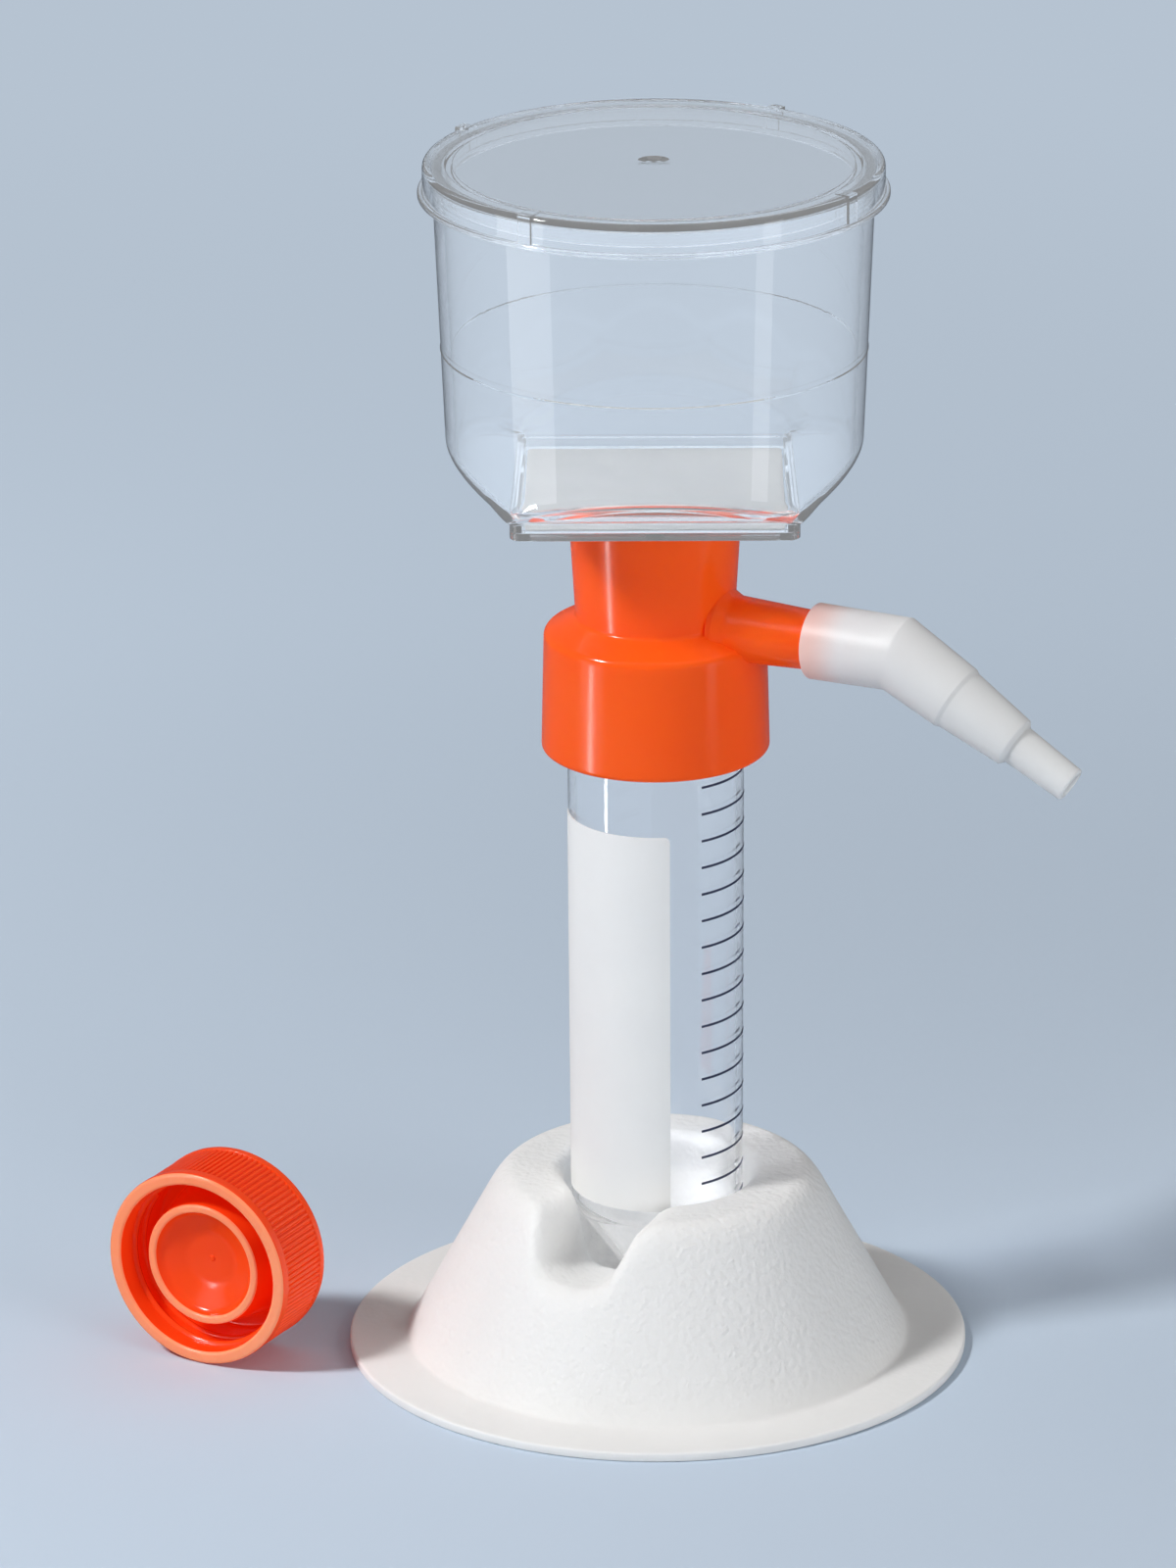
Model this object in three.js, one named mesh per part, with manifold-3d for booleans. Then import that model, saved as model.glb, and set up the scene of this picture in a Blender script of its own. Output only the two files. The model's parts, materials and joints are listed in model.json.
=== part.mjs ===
// Vacuum filtration unit for filling a 50 mL conical tube: a clear funnel with a square membrane,
// an orange adapter that screws on the tube, a turning hose connector, a moulded stand that holds
// the tube upright, and the tube's own screw cap, taken off and standing on its edge.
// Millimetres, +Z up, front towards -Y, origin on the bench under the middle of the whole set.

import * as THREE from 'three';
import { mergeVertices } from 'three/addons/utils/BufferGeometryUtils.js';
import Module from 'manifold-3d';

const wasm = await Module();
wasm.setup();

// ---- Fits between pieces ----
const seatGap = 0.3; // a piece that rests on or in another
const bondGap = 0.05; // welded or printed pieces
const swivelGap = 0.3; // hose connector on the side arm

// ---- Conical tube ----
const tubeLength = 114.4;
const tubeRadius = 14.35; // outside, at the top of the cone
const tubeRimRadius = 14.65; // outside, at the mouth
const tubeWall = 1.2;
const tubeConeHeight = 15.6;
const tubeTipRadius = 3.4;

// ---- Writing patch printed on the tube ----
const patchBottom = 18.6; // above the tube's tip
const patchHeight = 66.6;
const patchStart = -92; // degrees from the front, positive to the right
const patchEnd = 9;
const inkThickness = 0.12;

// ---- Stand, one formed sheet ----
const sheet = 1.5;
const flangeRadius = 52.05;
const standBaseRadius = 42.3; // where the slope meets the flange
const standTopRadius = 26.3; // where the slope meets the plateau
const plateauHeight = 31.0;
const shoulderRoll = 4.4; // height over which the plateau rolls into the slope
const baseFillet = 1.2;
const mouthFillet = 2.2;
const socketClearance = 1.4; // round the tube
const socketFloor = 9.8; // top of the floor that the tip stands on
const socketFloorFillet = 4.0;
const standSideSteps = 8; // columns on each side of the notch
const standSideEnd = 75; // degrees from the notch where they end
const standRestSteps = 22; // steps round the rest

// ---- Finger notch in the stand ----
const notchAzimuth = -28.3; // degrees from the front, positive to the right
const notchFloor = 19.0; // at the socket
const notchFloorHalf = 4.6; // half width at the floor, at the socket
const notchWallAngle = 73; // degrees from the level
const notchFloorFillet = 5.0;
const notchTopFillet = 4.0;
const notchWiden = 0.0156; // share that it gains in width for each millimetre outwards
const notchRise = 0.0074; // share that it loses in depth for each millimetre outwards

// ---- Vacuum adapter ----
const collarDepth = 18.2; // from the tube's rim down
const collarRadius = 18.9; // at the bottom edge
const collarTopRadius = 18.4;
const collarBore = 16.2;
const collarShoulder = 1.8; // height of the shoulder edge above the tube's seat
const collarCrown = 4.4; // height of the neck's foot above the tube's seat
const shoulderRound = 1.4;
const collarFootRound = 0.7;
const neckHeight = 24.8; // from the tube's seat to the top of the neck
const neckFootRadius = 13.15;
const neckTopRadius = 14.35;
const neckWall = 2.0;

// ---- Side arm and hose connector ----
const armAzimuth = 63.4; // degrees from the front, positive to the right
const armHeight = 4.2; // axis above the tube's seat
const armRadius = 4.9;
const armRootRadius = 5.5;
const armRootFlare = 0.9; // added to the radius at the neck
const armBore = 3.0;
const armReach = 28.8; // from the tube's axis to the step of the arm
const spigotLength = 11.0;
const sleeveRadius = 6.3;
const sleeveLength = 15.1; // from the mouth to the bend
const sleeveWall = 1.2;
const hoseBend = 30; // degrees
const hoseLength1 = 11.9; // step next to the bend
const hoseStart1 = 6.05; // radius
const hoseEnd1 = 5.7;
const hoseLength2 = 12.1;
const hoseStart2 = 5.35;
const hoseEnd2 = 4.35;
const hoseLength3 = 11.7; // tip
const hoseStart3 = 3.42;
const hoseEnd3 = 3.0;
const hoseStepBevel = 0.7;
const hoseWall = 1.05;

// ---- Membrane and its support ----
const baseHalf = 23.5; // half side of the square base
const baseCorner = 2.0;
const supportThickness = 1.3;
const supportFloor = 0.5;
const drainRibs = 13;
const drainRibWidth = 1.0;
const drainChannel = 3.0;
const spoutRadius = 4.2;
const spoutBore = 3.0;
const spoutLength = 29.5;
const membraneThickness = 0.2;
const membraneMargin = 0.25;

// ---- Funnel ----
const funnelHeight = 54.2;
const funnelRimRadius = 36.05;
const funnelFootRadius = 34.1; // where the round wall meets the sloping floor
const funnelWall = 1.6;
const baseBand = 1.5; // height of the square band
const floorSlope = 0.52;
const floorFillet = 4.0;
const wellHalf = 21.5; // half side of the square well over the membrane

// ---- Lid ----
const lidThickness = 1.3;
const lidSkirtWall = 1.2;
const lidSkirtDepth = 5.5;
const lidLip = 0.8;
const lidLipHeight = 0.9;
const lidRingDepth = 4.5;
const lidRingWall = 1.1;
const lidLugs = 4;
const lidLugWidth = 2.4;
const lidLugStand = 0.45;
const lidLugAzimuth = -33; // first lug, degrees from the front

// ---- Tube cap ----
const capHeight = 14.1;
const capRadius = 17.05; // over the ribs
const capBore = 14.9;
const capRibs = 108;
const capRibDepth = 0.42;
const capMouthBand = 2.0;
const capTopBand = 1.7;
const capTopWall = 1.5;
const capPlugRadius = 10.6; // at the lip
const capPlugRootRadius = 12.6;
const capPlugWall = 1.5;
const capPlugRecess = 2.1; // lip below the mouth
const capDishDepth = 3.4;
const capX = -77.4;
const capY = -10.6;
const capTurn = 28.7; // degrees, the way its top faces, from the back to the right

// ---- Heights that follow ----
const tubeFoot = socketFloor + seatGap;
const tubeTop = tubeFoot + tubeLength;
const collarSeat = tubeTop + seatGap;
const neckTop = collarSeat + neckHeight;
const supportBottom = neckTop + bondGap;
const supportTop = supportBottom + supportThickness;
const funnelBottom = supportTop + bondGap;
const funnelTop = funnelBottom + funnelHeight;

// ---- Materials ----
const plastic = (color, roughness, extra = {}) => new THREE.MeshStandardMaterial({
  color, roughness, metalness: 0, ...extra,
});
const clear = (color, opacity) => plastic(color, 0.05, { transparent: true, opacity });
const materials = {
  stand: plastic(0xf4f4f0, 0.7),
  orange: plastic(0xed4a22, 0.22),
  capOrange: plastic(0xee4626, 0.3),
  tube: clear(0xe3ebf5, 0.3),
  ink: plastic(0xf5f5f3, 0.6),
  support: clear(0xf0f4fa, 0.35),
  membrane: plastic(0xf3f3f1, 0.85),
  funnel: clear(0xe6effa, 0.22),
  lid: clear(0xeaf2fb, 0.22),
  connector: plastic(0xe4e6e4, 0.45, { transparent: true, opacity: 0.9 }),
};

// ---- Geometry tools ----
const radians = THREE.MathUtils.degToRad;

// Unit vector in plan at an azimuth counted in degrees from the front, positive to the right.
const planDirection = (azimuth) => new THREE.Vector3(Math.sin(radians(azimuth)), -Math.cos(radians(azimuth)), 0);

// Points of an outline given by its corners [x, y, fillet radius]; each filleted corner gives steps + 1 points.
function roundedOutline(corners, steps = 3) {
  return corners.flatMap(([x, y, radius = 0], i) => {
    const corner = new THREE.Vector2(x, y);
    if (radius === 0) return [corner];
    const last = corners[(i + corners.length - 1) % corners.length];
    const next = corners[(i + 1) % corners.length];
    const back = new THREE.Vector2(last[0], last[1]).sub(corner);
    const ahead = new THREE.Vector2(next[0], next[1]).sub(corner);
    const room = 0.48 * Math.min(back.length(), ahead.length());
    back.normalize();
    ahead.normalize();
    const half = 0.5 * Math.acos(THREE.MathUtils.clamp(back.dot(ahead), -1, 1));
    const reach = Math.min(radius / Math.tan(half), room);
    const centre = corner.clone().addScaledVector(back.clone().add(ahead), reach / (2 * Math.cos(half) ** 2));
    const start = corner.clone().addScaledVector(back, reach).sub(centre);
    const turn = Math.sign(back.cross(ahead)) * (2 * half - Math.PI);
    return Array.from({ length: steps + 1 }, (_, k) => (
      start.clone().rotateAround(new THREE.Vector2(), (turn * k) / steps).add(centre)
    ));
  });
}

// A closed profile in r and z, listed anticlockwise, turned about Z.
function turned(corners, segments, steps = 3) {
  const points = roundedOutline(corners, steps);
  return withoutSlivers(new THREE.LatheGeometry([...points, points[0]], segments).rotateX(Math.PI / 2));
}

// A skin through closed profiles in r and z set all round, which may differ from one to the next.
// Each column gives its azimuth at a radius. The profiles form a ring, or start and end on the axis.
function lofted(columns, profileAt, ring) {
  const profiles = columns.map(profileAt);
  const count = profiles[0].length;
  const positions = profiles.flatMap((profile, i) => profile.flatMap((p) => {
    const way = planDirection(columns[i](p.x));
    return [p.x * way.x, p.x * way.y, p.y];
  }));
  const pointAt = (index) => new THREE.Vector3().fromArray(positions, 3 * index);
  const faces = [];
  const spans = ring ? count : count - 1;
  columns.forEach((_, i) => {
    const here = i * count;
    const there = ((i + 1) % columns.length) * count;
    for (let k = 0; k < spans; k += 1) {
      const next = (k + 1) % count;
      const [a, b, c, d] = [here + k, there + k, there + next, here + next];
      const across = pointAt(a).distanceTo(pointAt(c)) <= pointAt(b).distanceTo(pointAt(d));
      faces.push(...(across ? [a, b, c, a, c, d] : [a, b, d, b, c, d]));
    }
  });
  const skin = new THREE.BufferGeometry();
  skin.setAttribute('position', new THREE.Float32BufferAttribute(positions, 3));
  skin.setIndex(faces);
  return withoutSlivers(skin);
}

// Merges the points that share a place, and drops the faces that this leaves with no area.
function withoutSlivers(geometry) {
  geometry.deleteAttribute('normal');
  geometry.deleteAttribute('uv');
  const merged = mergeVertices(geometry, 1e-4);
  const kept = [];
  for (let i = 0; i < merged.index.count; i += 3) {
    const [a, b, c] = [0, 1, 2].map((k) => merged.index.getX(i + k));
    if (a !== b && b !== c && c !== a) kept.push(a, b, c);
  }
  merged.setIndex(kept);
  merged.computeVertexNormals();
  return merged;
}

function solidOf(geometry) {
  const merged = withoutSlivers(geometry.clone());
  return new wasm.Manifold(new wasm.Mesh({
    numProp: 3,
    vertProperties: Float32Array.from(merged.attributes.position.array),
    triVerts: Uint32Array.from(merged.index.array),
  }));
}

function geometryOf(solid) {
  const mesh = solid.getMesh();
  const geometry = new THREE.BufferGeometry();
  geometry.setAttribute('position', new THREE.BufferAttribute(mesh.vertProperties, 3));
  geometry.setIndex(new THREE.BufferAttribute(mesh.triVerts, 1));
  geometry.computeVertexNormals();
  return geometry;
}

const joined = (...geometries) => geometries.map(solidOf).reduce((whole, piece) => whole.add(piece));
const block = (x, y, z, low) => new THREE.BoxGeometry(x, y, z).translate(0, 0, low + z / 2);
const evenColumns = (count) => Array.from({ length: count }, (_, i) => () => (360 * i) / count);

const group = new THREE.Group();
function add(name, geometry, material) {
  const mesh = new THREE.Mesh(geometry, material);
  mesh.name = name;
  group.add(mesh);
  return mesh;
}

// ---- Tube ----
// Outside radius of the tube at a height above its tip.
function tubeRadiusAt(height) {
  if (height < tubeConeHeight) {
    return THREE.MathUtils.mapLinear(height, 0, tubeConeHeight, tubeTipRadius, tubeRadius);
  }
  return THREE.MathUtils.mapLinear(height, tubeConeHeight, tubeLength, tubeRadius, tubeRimRadius);
}

function centrifugeTube() {
  const coneEdge = tubeFoot + tubeConeHeight;
  const innerTip = tubeTipRadius - 0.6 * tubeWall;
  const rimRound = 0.4 * tubeWall;
  return turned([
    [0, tubeFoot],
    [tubeTipRadius, tubeFoot, 1.4],
    [tubeRadius, coneEdge, 2.5],
    [tubeRimRadius, tubeTop, rimRound],
    [tubeRimRadius - tubeWall, tubeTop, rimRound],
    [tubeRadius - tubeWall, coneEdge + 0.4 * tubeWall, 2.5],
    [innerTip, tubeFoot + tubeWall, 1.0],
    [0, tubeFoot + tubeWall],
  ], 36, 2);
}

// A skin of ink that follows the tube's wall over part of its round.
function writingPatch() {
  const low = tubeRadiusAt(patchBottom) + bondGap;
  const high = tubeRadiusAt(patchBottom + patchHeight) + bondGap;
  const foot = tubeFoot + patchBottom;
  const profile = [
    [low, foot], [low + inkThickness, foot],
    [high + inkThickness, foot + patchHeight], [high, foot + patchHeight],
  ];
  const steps = Math.ceil((patchEnd - patchStart) / 7.5);
  const rows = Array.from({ length: steps + 1 }, (_, i) => patchStart + (i * (patchEnd - patchStart)) / steps);
  const positions = rows.flatMap((azimuth) => profile.flatMap(([r, z]) => {
    const way = planDirection(azimuth);
    return [r * way.x, r * way.y, z];
  }));
  const faces = [0, 1, 2, 0, 2, 3];
  for (let i = 0; i < steps; i += 1) {
    for (let k = 0; k < 4; k += 1) {
      const [a, b] = [4 * i + k, 4 * i + ((k + 1) % 4)];
      faces.push(a, a + 4, b + 4, a, b + 4, b);
    }
  }
  const end = 4 * steps;
  faces.push(end, end + 2, end + 1, end, end + 3, end + 2);
  const skin = new THREE.BufferGeometry();
  skin.setAttribute('position', new THREE.Float32BufferAttribute(positions, 3));
  skin.setIndex(faces);
  skin.computeVertexNormals();
  return skin;
}

// ---- Stand ----
const socketRadius = tubeRadius + socketClearance;
const slopeRun = (standBaseRadius - standTopRadius) / (plateauHeight - sheet); // radius gained going down
const slopeSlant = Math.hypot(1, slopeRun);

// Outline across the notch at the socket, at a depth into the sheet: [distance aside, height].
function notchSection(depth) {
  const lean = radians(notchWallAngle);
  const foot = notchFloorHalf + depth * Math.tan(lean / 2);
  const top = foot + (plateauHeight - notchFloor) / Math.tan(lean);
  return roundedOutline([
    [-foot, notchFloor - depth],
    [foot, notchFloor - depth, notchFloorFillet + depth],
    [top, plateauHeight - depth, notchTopFillet - depth],
    [flangeRadius, plateauHeight - depth],
  ]);
}

function heightAcross(section, aside) {
  const i = section.findIndex((point) => point.x > aside);
  return THREE.MathUtils.mapLinear(aside, section[i - 1].x, section[i].x, section[i - 1].y, section[i].y);
}

const slopeRadiusAt = (z, depth) => standBaseRadius - (z - sheet) * slopeRun - depth * slopeSlant;
const notchEnd = slopeRadiusAt(notchFloor - shoulderRoll, 0);
const alongNotch = (radius) => THREE.MathUtils.clamp(radius, socketRadius, notchEnd) - socketRadius;

// Columns of points: beside the notch they keep along its walls, and elsewhere they run straight out.
function standColumns() {
  const asides = notchSection(0).slice(1, -1).map((point) => point.x);
  const swingTo = (aside, radius) => {
    const along = alongNotch(radius);
    return THREE.MathUtils.radToDeg(Math.asin((aside * (1 + notchWiden * along)) / (socketRadius + along)));
  };
  const beside = asides.map((aside) => (radius) => swingTo(aside, radius));
  const further = Array.from({ length: standSideSteps }, (_, i) => (radius) => (
    THREE.MathUtils.lerp(swingTo(asides.at(-1), radius), standSideEnd, (i + 1) / standSideSteps)
  ));
  const right = [...beside, ...further];
  const left = right.map((column) => (radius) => -column(radius)).reverse();
  const rest = Array.from({ length: standRestSteps - 1 }, (_, i) => () => (
    standSideEnd + ((i + 1) * (360 - 2 * standSideEnd)) / standRestSteps
  ));
  return [...left, () => 0, ...right, ...rest].map((column) => (radius) => notchAzimuth + column(radius));
}

// One face of the sheet from the axis outwards; depth is 0 on top and the sheet underneath.
function standFace(column, depth) {
  const section = notchSection(depth);
  const slopeRadius = (z) => slopeRadiusAt(z, depth);
  const heightAt = (radius) => {
    const swing = radians(column(radius) - notchAzimuth);
    const along = alongNotch(radius);
    const aside = Math.abs(radius * Math.sin(swing)) / (1 + notchWiden * along);
    const dip = (plateauHeight - depth - heightAcross(section, aside)) * (1 - notchRise * along);
    const level = plateauHeight - depth - (Math.cos(swing) > 0 ? dip : 0);
    const slope = sheet + (slopeRadius(sheet) - radius) / slopeRun;
    const roll = Math.max(shoulderRoll - Math.abs(level - slope), 0);
    return Math.min(level, slope) - roll ** 2 / (4 * shoulderRoll);
  };
  const wall = socketRadius + depth;
  const lip = Math.max(mouthFillet - depth, 0.2);
  const mouth = [0, 0.5, 1].map((share) => {
    const turn = (share * Math.PI) / 2;
    const radius = wall + lip * (1 - Math.cos(turn));
    return [radius, heightAt(radius) - lip * (1 - Math.sin(turn))];
  });
  const far = slopeRadius(notchFloor - depth - shoulderRoll);
  const shares = [0.12, 0.24, 0.36, 0.46, 0.57, 0.68, 0.79, 0.9, 1];
  const top = shares.map((share) => {
    const radius = THREE.MathUtils.lerp(wall + lip, far, share);
    return [radius, heightAt(radius)];
  });
  const foot = depth > 0 ? 0 : sheet;
  return [
    [0, socketFloor - depth],
    [wall, socketFloor - depth, socketFloorFillet + depth],
    ...mouth,
    ...top,
    [slopeRadius(foot), foot, depth > 0 ? 0 : baseFillet],
  ];
}

function stand() {
  return lofted(standColumns(), (column) => roundedOutline([
    ...standFace(column, sheet),
    [flangeRadius, 0],
    [flangeRadius, sheet, 0.4 * sheet],
    ...standFace(column, 0).reverse(),
  ], 2), false);
}

// ---- Vacuum adapter ----
const armWay = planDirection(armAzimuth);
const armAxisHeight = collarSeat + armHeight;

// Lays a piece modelled along +Z onto the side arm's axis, with its z = 0 on the tube's axis.
function alongArm(geometry) {
  const toArm = new THREE.Quaternion().setFromUnitVectors(new THREE.Vector3(0, 0, 1), armWay);
  return geometry.applyQuaternion(toArm).translate(0, 0, armAxisHeight);
}

function sideArm() {
  const root = neckFootRadius - 0.5 * neckWall;
  const spigotRadius = sleeveRadius - sleeveWall - swivelGap;
  const flareEnd = neckFootRadius + 2 * armRootFlare;
  return alongArm(turned([
    [0, root],
    [armRootRadius + armRootFlare, root],
    [armRootRadius + armRootFlare, neckFootRadius],
    [armRootRadius, flareEnd, 2 * armRootFlare],
    [armRadius, armReach],
    [spigotRadius, armReach],
    [spigotRadius, armReach + spigotLength, 0.8],
    [0, armReach + spigotLength],
  ], 32, 2));
}

function vacuumAdapter() {
  const foot = tubeTop - collarDepth;
  const body = turned([
    [0, foot],
    [collarRadius, foot, collarFootRound],
    [collarTopRadius, collarSeat + collarShoulder, shoulderRound],
    [neckFootRadius, collarSeat + collarCrown, 0.6],
    [neckTopRadius, neckTop],
    [0, neckTop],
  ], 44, 2);
  const cavity = turned([
    [0, foot - 1],
    [collarBore, foot - 1],
    [collarBore, collarSeat],
    [neckFootRadius - neckWall, collarSeat],
    [neckTopRadius - neckWall, neckTop + 1],
    [0, neckTop + 1],
  ], 44);
  const boreStart = neckFootRadius - 2 * neckWall;
  const boreLength = armReach + spigotLength + 1 - boreStart;
  const bore = alongArm(new THREE.CylinderGeometry(armBore, armBore, boreLength, 24)
    .rotateX(Math.PI / 2).translate(0, 0, boreStart + boreLength / 2));
  return geometryOf(joined(body, sideArm()).subtract(solidOf(cavity)).subtract(solidOf(bore)));
}

// ---- Hose connector ----
const hoseSteps = [
  { length: hoseLength1, start: hoseStart1, end: hoseEnd1 },
  { length: hoseLength2, start: hoseStart2, end: hoseEnd2 },
  { length: hoseLength3, start: hoseStart3, end: hoseEnd3 },
];

// A ring of points round a path in the plane of the arm: along it to the bend, then sloping down.
function pipeRing(distance, radius, sides) {
  const bend = sleeveLength;
  const slope = radians(hoseBend) * (distance < bend ? 0 : distance > bend ? 1 : 0.5);
  const stretch = distance === bend ? 1 / Math.cos(slope) : 1;
  const beyond = Math.max(0, distance - bend);
  const run = armReach + swivelGap + Math.min(distance, bend) + beyond * Math.cos(radians(hoseBend));
  const drop = beyond * Math.sin(radians(hoseBend));
  const across = new THREE.Vector3(-armWay.y, armWay.x, 0);
  const up = armWay.clone().multiplyScalar(Math.sin(slope)).setZ(Math.cos(slope));
  const centre = armWay.clone().multiplyScalar(run).setZ(armAxisHeight - drop);
  return Array.from({ length: sides }, (_, i) => {
    const angle = (2 * Math.PI * i) / sides;
    return centre.clone().addScaledVector(across, radius * Math.cos(angle))
      .addScaledVector(up, radius * stretch * Math.sin(angle));
  });
}

// Stations [distance, radius] of the connector's outside, from the sleeve's mouth to the open tip.
function connectorOutside() {
  const edge = 0.3;
  const stations = [[0, sleeveRadius - edge], [edge, sleeveRadius], [sleeveLength, hoseSteps[0].start + 0.1]];
  let start = sleeveLength;
  hoseSteps.forEach((step, i) => {
    if (i > 0) stations.push([start + hoseStepBevel, step.start]);
    start += step.length;
    const last = i === hoseSteps.length - 1;
    stations.push([start - (last ? edge : 0), step.end]);
    if (last) stations.push([start, step.end - edge]);
  });
  return stations;
}

function hoseConnector() {
  const sides = 32;
  const outside = connectorOutside();
  const tip = outside.at(-1)[0];
  const inside = outside.slice(2, -2).reverse().map(([distance, radius]) => [distance, radius - hoseWall]);
  const stations = [
    ...outside,
    [tip, hoseSteps.at(-1).end - hoseWall],
    ...inside,
    [sleeveLength - 0.6 * hoseStepBevel, sleeveRadius - sleeveWall],
    [0, sleeveRadius - sleeveWall],
  ];
  const positions = stations.flatMap(([distance, radius]) => (
    pipeRing(distance, radius, sides).flatMap((p) => p.toArray())
  ));
  const faces = [];
  stations.forEach((_, j) => {
    const here = j * sides;
    const there = ((j + 1) % stations.length) * sides;
    for (let i = 0; i < sides; i += 1) {
      const next = (i + 1) % sides;
      faces.push(here + i, here + next, there + next, here + i, there + next, there + i);
    }
  });
  const skin = new THREE.BufferGeometry();
  skin.setAttribute('position', new THREE.Float32BufferAttribute(positions, 3));
  skin.setIndex(faces);
  return withoutSlivers(skin);
}

// ---- Membrane and its support ----
function squarePlate(half, corner, thickness, low) {
  const outline = roundedOutline([
    [-half, -half, corner], [half, -half, corner], [half, half, corner], [-half, half, corner],
  ], 4);
  return new THREE.ExtrudeGeometry(new THREE.Shape(outline), { depth: thickness, bevelEnabled: false })
    .translate(0, 0, low);
}

// Plate with parallel drain ribs, a channel across them and a spout that hangs in the neck.
function membraneSupport() {
  const recessHalf = wellHalf - membraneMargin - 1;
  const recessFloor = supportBottom + supportFloor;
  const depth = supportTop - recessFloor;
  const plate = solidOf(squarePlate(baseHalf, baseCorner, supportThickness, supportBottom));
  const recess = solidOf(squarePlate(recessHalf, 1, depth + 1, recessFloor));
  const pitch = (2 * recessHalf) / (drainRibs + 1);
  const channel = solidOf(block(drainChannel, 2 * recessHalf + 2, depth + 2, recessFloor - 1));
  const ribs = Array.from({ length: drainRibs }, (_, i) => (
    block(2 * recessHalf + 0.6, drainRibWidth, depth + 0.2, recessFloor - 0.2)
      .translate(0, (i - (drainRibs - 1) / 2) * pitch, 0)
  ));
  const ribbed = joined(...ribs).subtract(channel);
  const spoutFoot = supportBottom - spoutLength;
  const spout = solidOf(turned([
    [0, spoutFoot], [spoutRadius, spoutFoot], [spoutRadius, recessFloor], [0, recessFloor],
  ], 28));
  const spoutHole = solidOf(turned([
    [0, spoutFoot - 1], [spoutBore, spoutFoot - 1], [spoutBore, supportTop + 1], [0, supportTop + 1],
  ], 28));
  return geometryOf(plate.subtract(recess).add(ribbed).add(spout).subtract(spoutHole));
}

const membrane = () => squarePlate(wellHalf - membraneMargin, 0.8, membraneThickness, supportTop + bondGap);

// ---- Funnel ----
const bandTop = funnelBottom + baseBand;

// Angle of an azimuth from the middle of the nearest side of the square, in radians.
const fromSide = (azimuth) => radians(Math.abs(THREE.MathUtils.euclideanModulo(azimuth + 45, 90) - 45));

// Radius, at an angle from the middle of a side, of a square with rounded corners.
function squareRadius(half, corner, angle) {
  const inner = half - corner;
  if (half * Math.tan(angle) <= inner) return half / Math.cos(angle);
  const across = inner * (Math.cos(angle) - Math.sin(angle));
  return inner * (Math.cos(angle) + Math.sin(angle)) + Math.sqrt(corner ** 2 - across ** 2);
}

// One face of the wall, from the rim to the square: a round wall that meets four sloping floors.
function funnelFace(azimuth, wall, half, corner) {
  const angle = fromSide(azimuth);
  const slant = Math.hypot(1, floorSlope);
  const floorAt = (radius) => bandTop + floorSlope * (radius * Math.cos(angle) - baseHalf) + wall * slant;
  const sideFoot = bandTop + floorSlope * (funnelFootRadius - baseHalf);
  const draft = (funnelRimRadius - funnelFootRadius) / (funnelTop - sideFoot);
  const roundAt = (z) => funnelFootRadius - wall + (z - sideFoot) * draft;
  let foot = roundAt(sideFoot);
  for (let i = 0; i < 8; i += 1) foot = roundAt(floorAt(foot));
  const square = squareRadius(half, corner, angle);
  return [
    [roundAt(funnelTop), funnelTop, 0.3 * funnelWall],
    [foot, floorAt(foot), Math.max(floorFillet - wall, 0.5)],
    [square, floorAt(square)],
  ];
}

function funnel() {
  return lofted(evenColumns(56), (column) => {
    const azimuth = column();
    const angle = fromSide(azimuth);
    const wellCorner = Math.max(baseCorner - (baseHalf - wellHalf), 0.8);
    return roundedOutline([
      [squareRadius(wellHalf, wellCorner, angle), funnelBottom],
      [squareRadius(baseHalf, baseCorner, angle), funnelBottom],
      ...funnelFace(azimuth, 0, baseHalf, baseCorner).reverse(),
      ...funnelFace(azimuth, funnelWall, wellHalf, wellCorner),
    ]);
  }, true);
}

// ---- Lid ----
function funnelLid() {
  const under = funnelTop + seatGap;
  const top = under + lidThickness;
  const edge = top - lidSkirtDepth;
  const skirtBore = funnelRimRadius + seatGap;
  const skirtRadius = skirtBore + lidSkirtWall;
  const lipRadius = skirtRadius + lidLip;
  const ringRadius = funnelRimRadius - funnelWall - 2 * seatGap;
  const body = turned([
    [0, under],
    [ringRadius - lidRingWall, under],
    [ringRadius - lidRingWall, top - lidRingDepth],
    [ringRadius, top - lidRingDepth],
    [ringRadius, under],
    [skirtBore, under],
    [skirtBore, edge],
    [lipRadius, edge, 0.3],
    [lipRadius, edge + lidLipHeight, 0.3],
    [skirtRadius, edge + lidLipHeight],
    [skirtRadius, top, 0.5],
    [0, top],
  ], 48, 2);
  const lugDepth = lidSkirtWall + lidLugStand - seatGap;
  const lugs = Array.from({ length: lidLugs }, (_, i) => (
    block(lidLugWidth, lugDepth, lidSkirtDepth - 0.2, edge + 0.2)
      .translate(0, -(skirtBore + seatGap + lugDepth / 2), 0)
      .rotateZ(radians(lidLugAzimuth + (360 * i) / lidLugs))
  ));
  return geometryOf(joined(body, ...lugs));
}

// ---- Tube cap ----
// The grip: a ring whose outside is a row of vertical ribs.
function capGrip() {
  const root = capRadius - capRibDepth;
  const outline = new THREE.Shape(Array.from({ length: 2 * capRibs }, (_, i) => {
    const angle = (Math.PI * i) / capRibs;
    const radius = i % 2 === 0 ? capRadius - 0.2 * capRibDepth : root;
    return new THREE.Vector2(radius * Math.cos(angle), radius * Math.sin(angle));
  }));
  outline.holes.push(new THREE.Path().absarc(0, 0, (capBore + root) / 2, 0, 2 * Math.PI, true));
  const depth = capHeight - capMouthBand - capTopBand;
  return new THREE.ExtrudeGeometry(outline, { depth, bevelEnabled: false, curveSegments: 24 })
    .translate(0, 0, capMouthBand);
}

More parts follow.
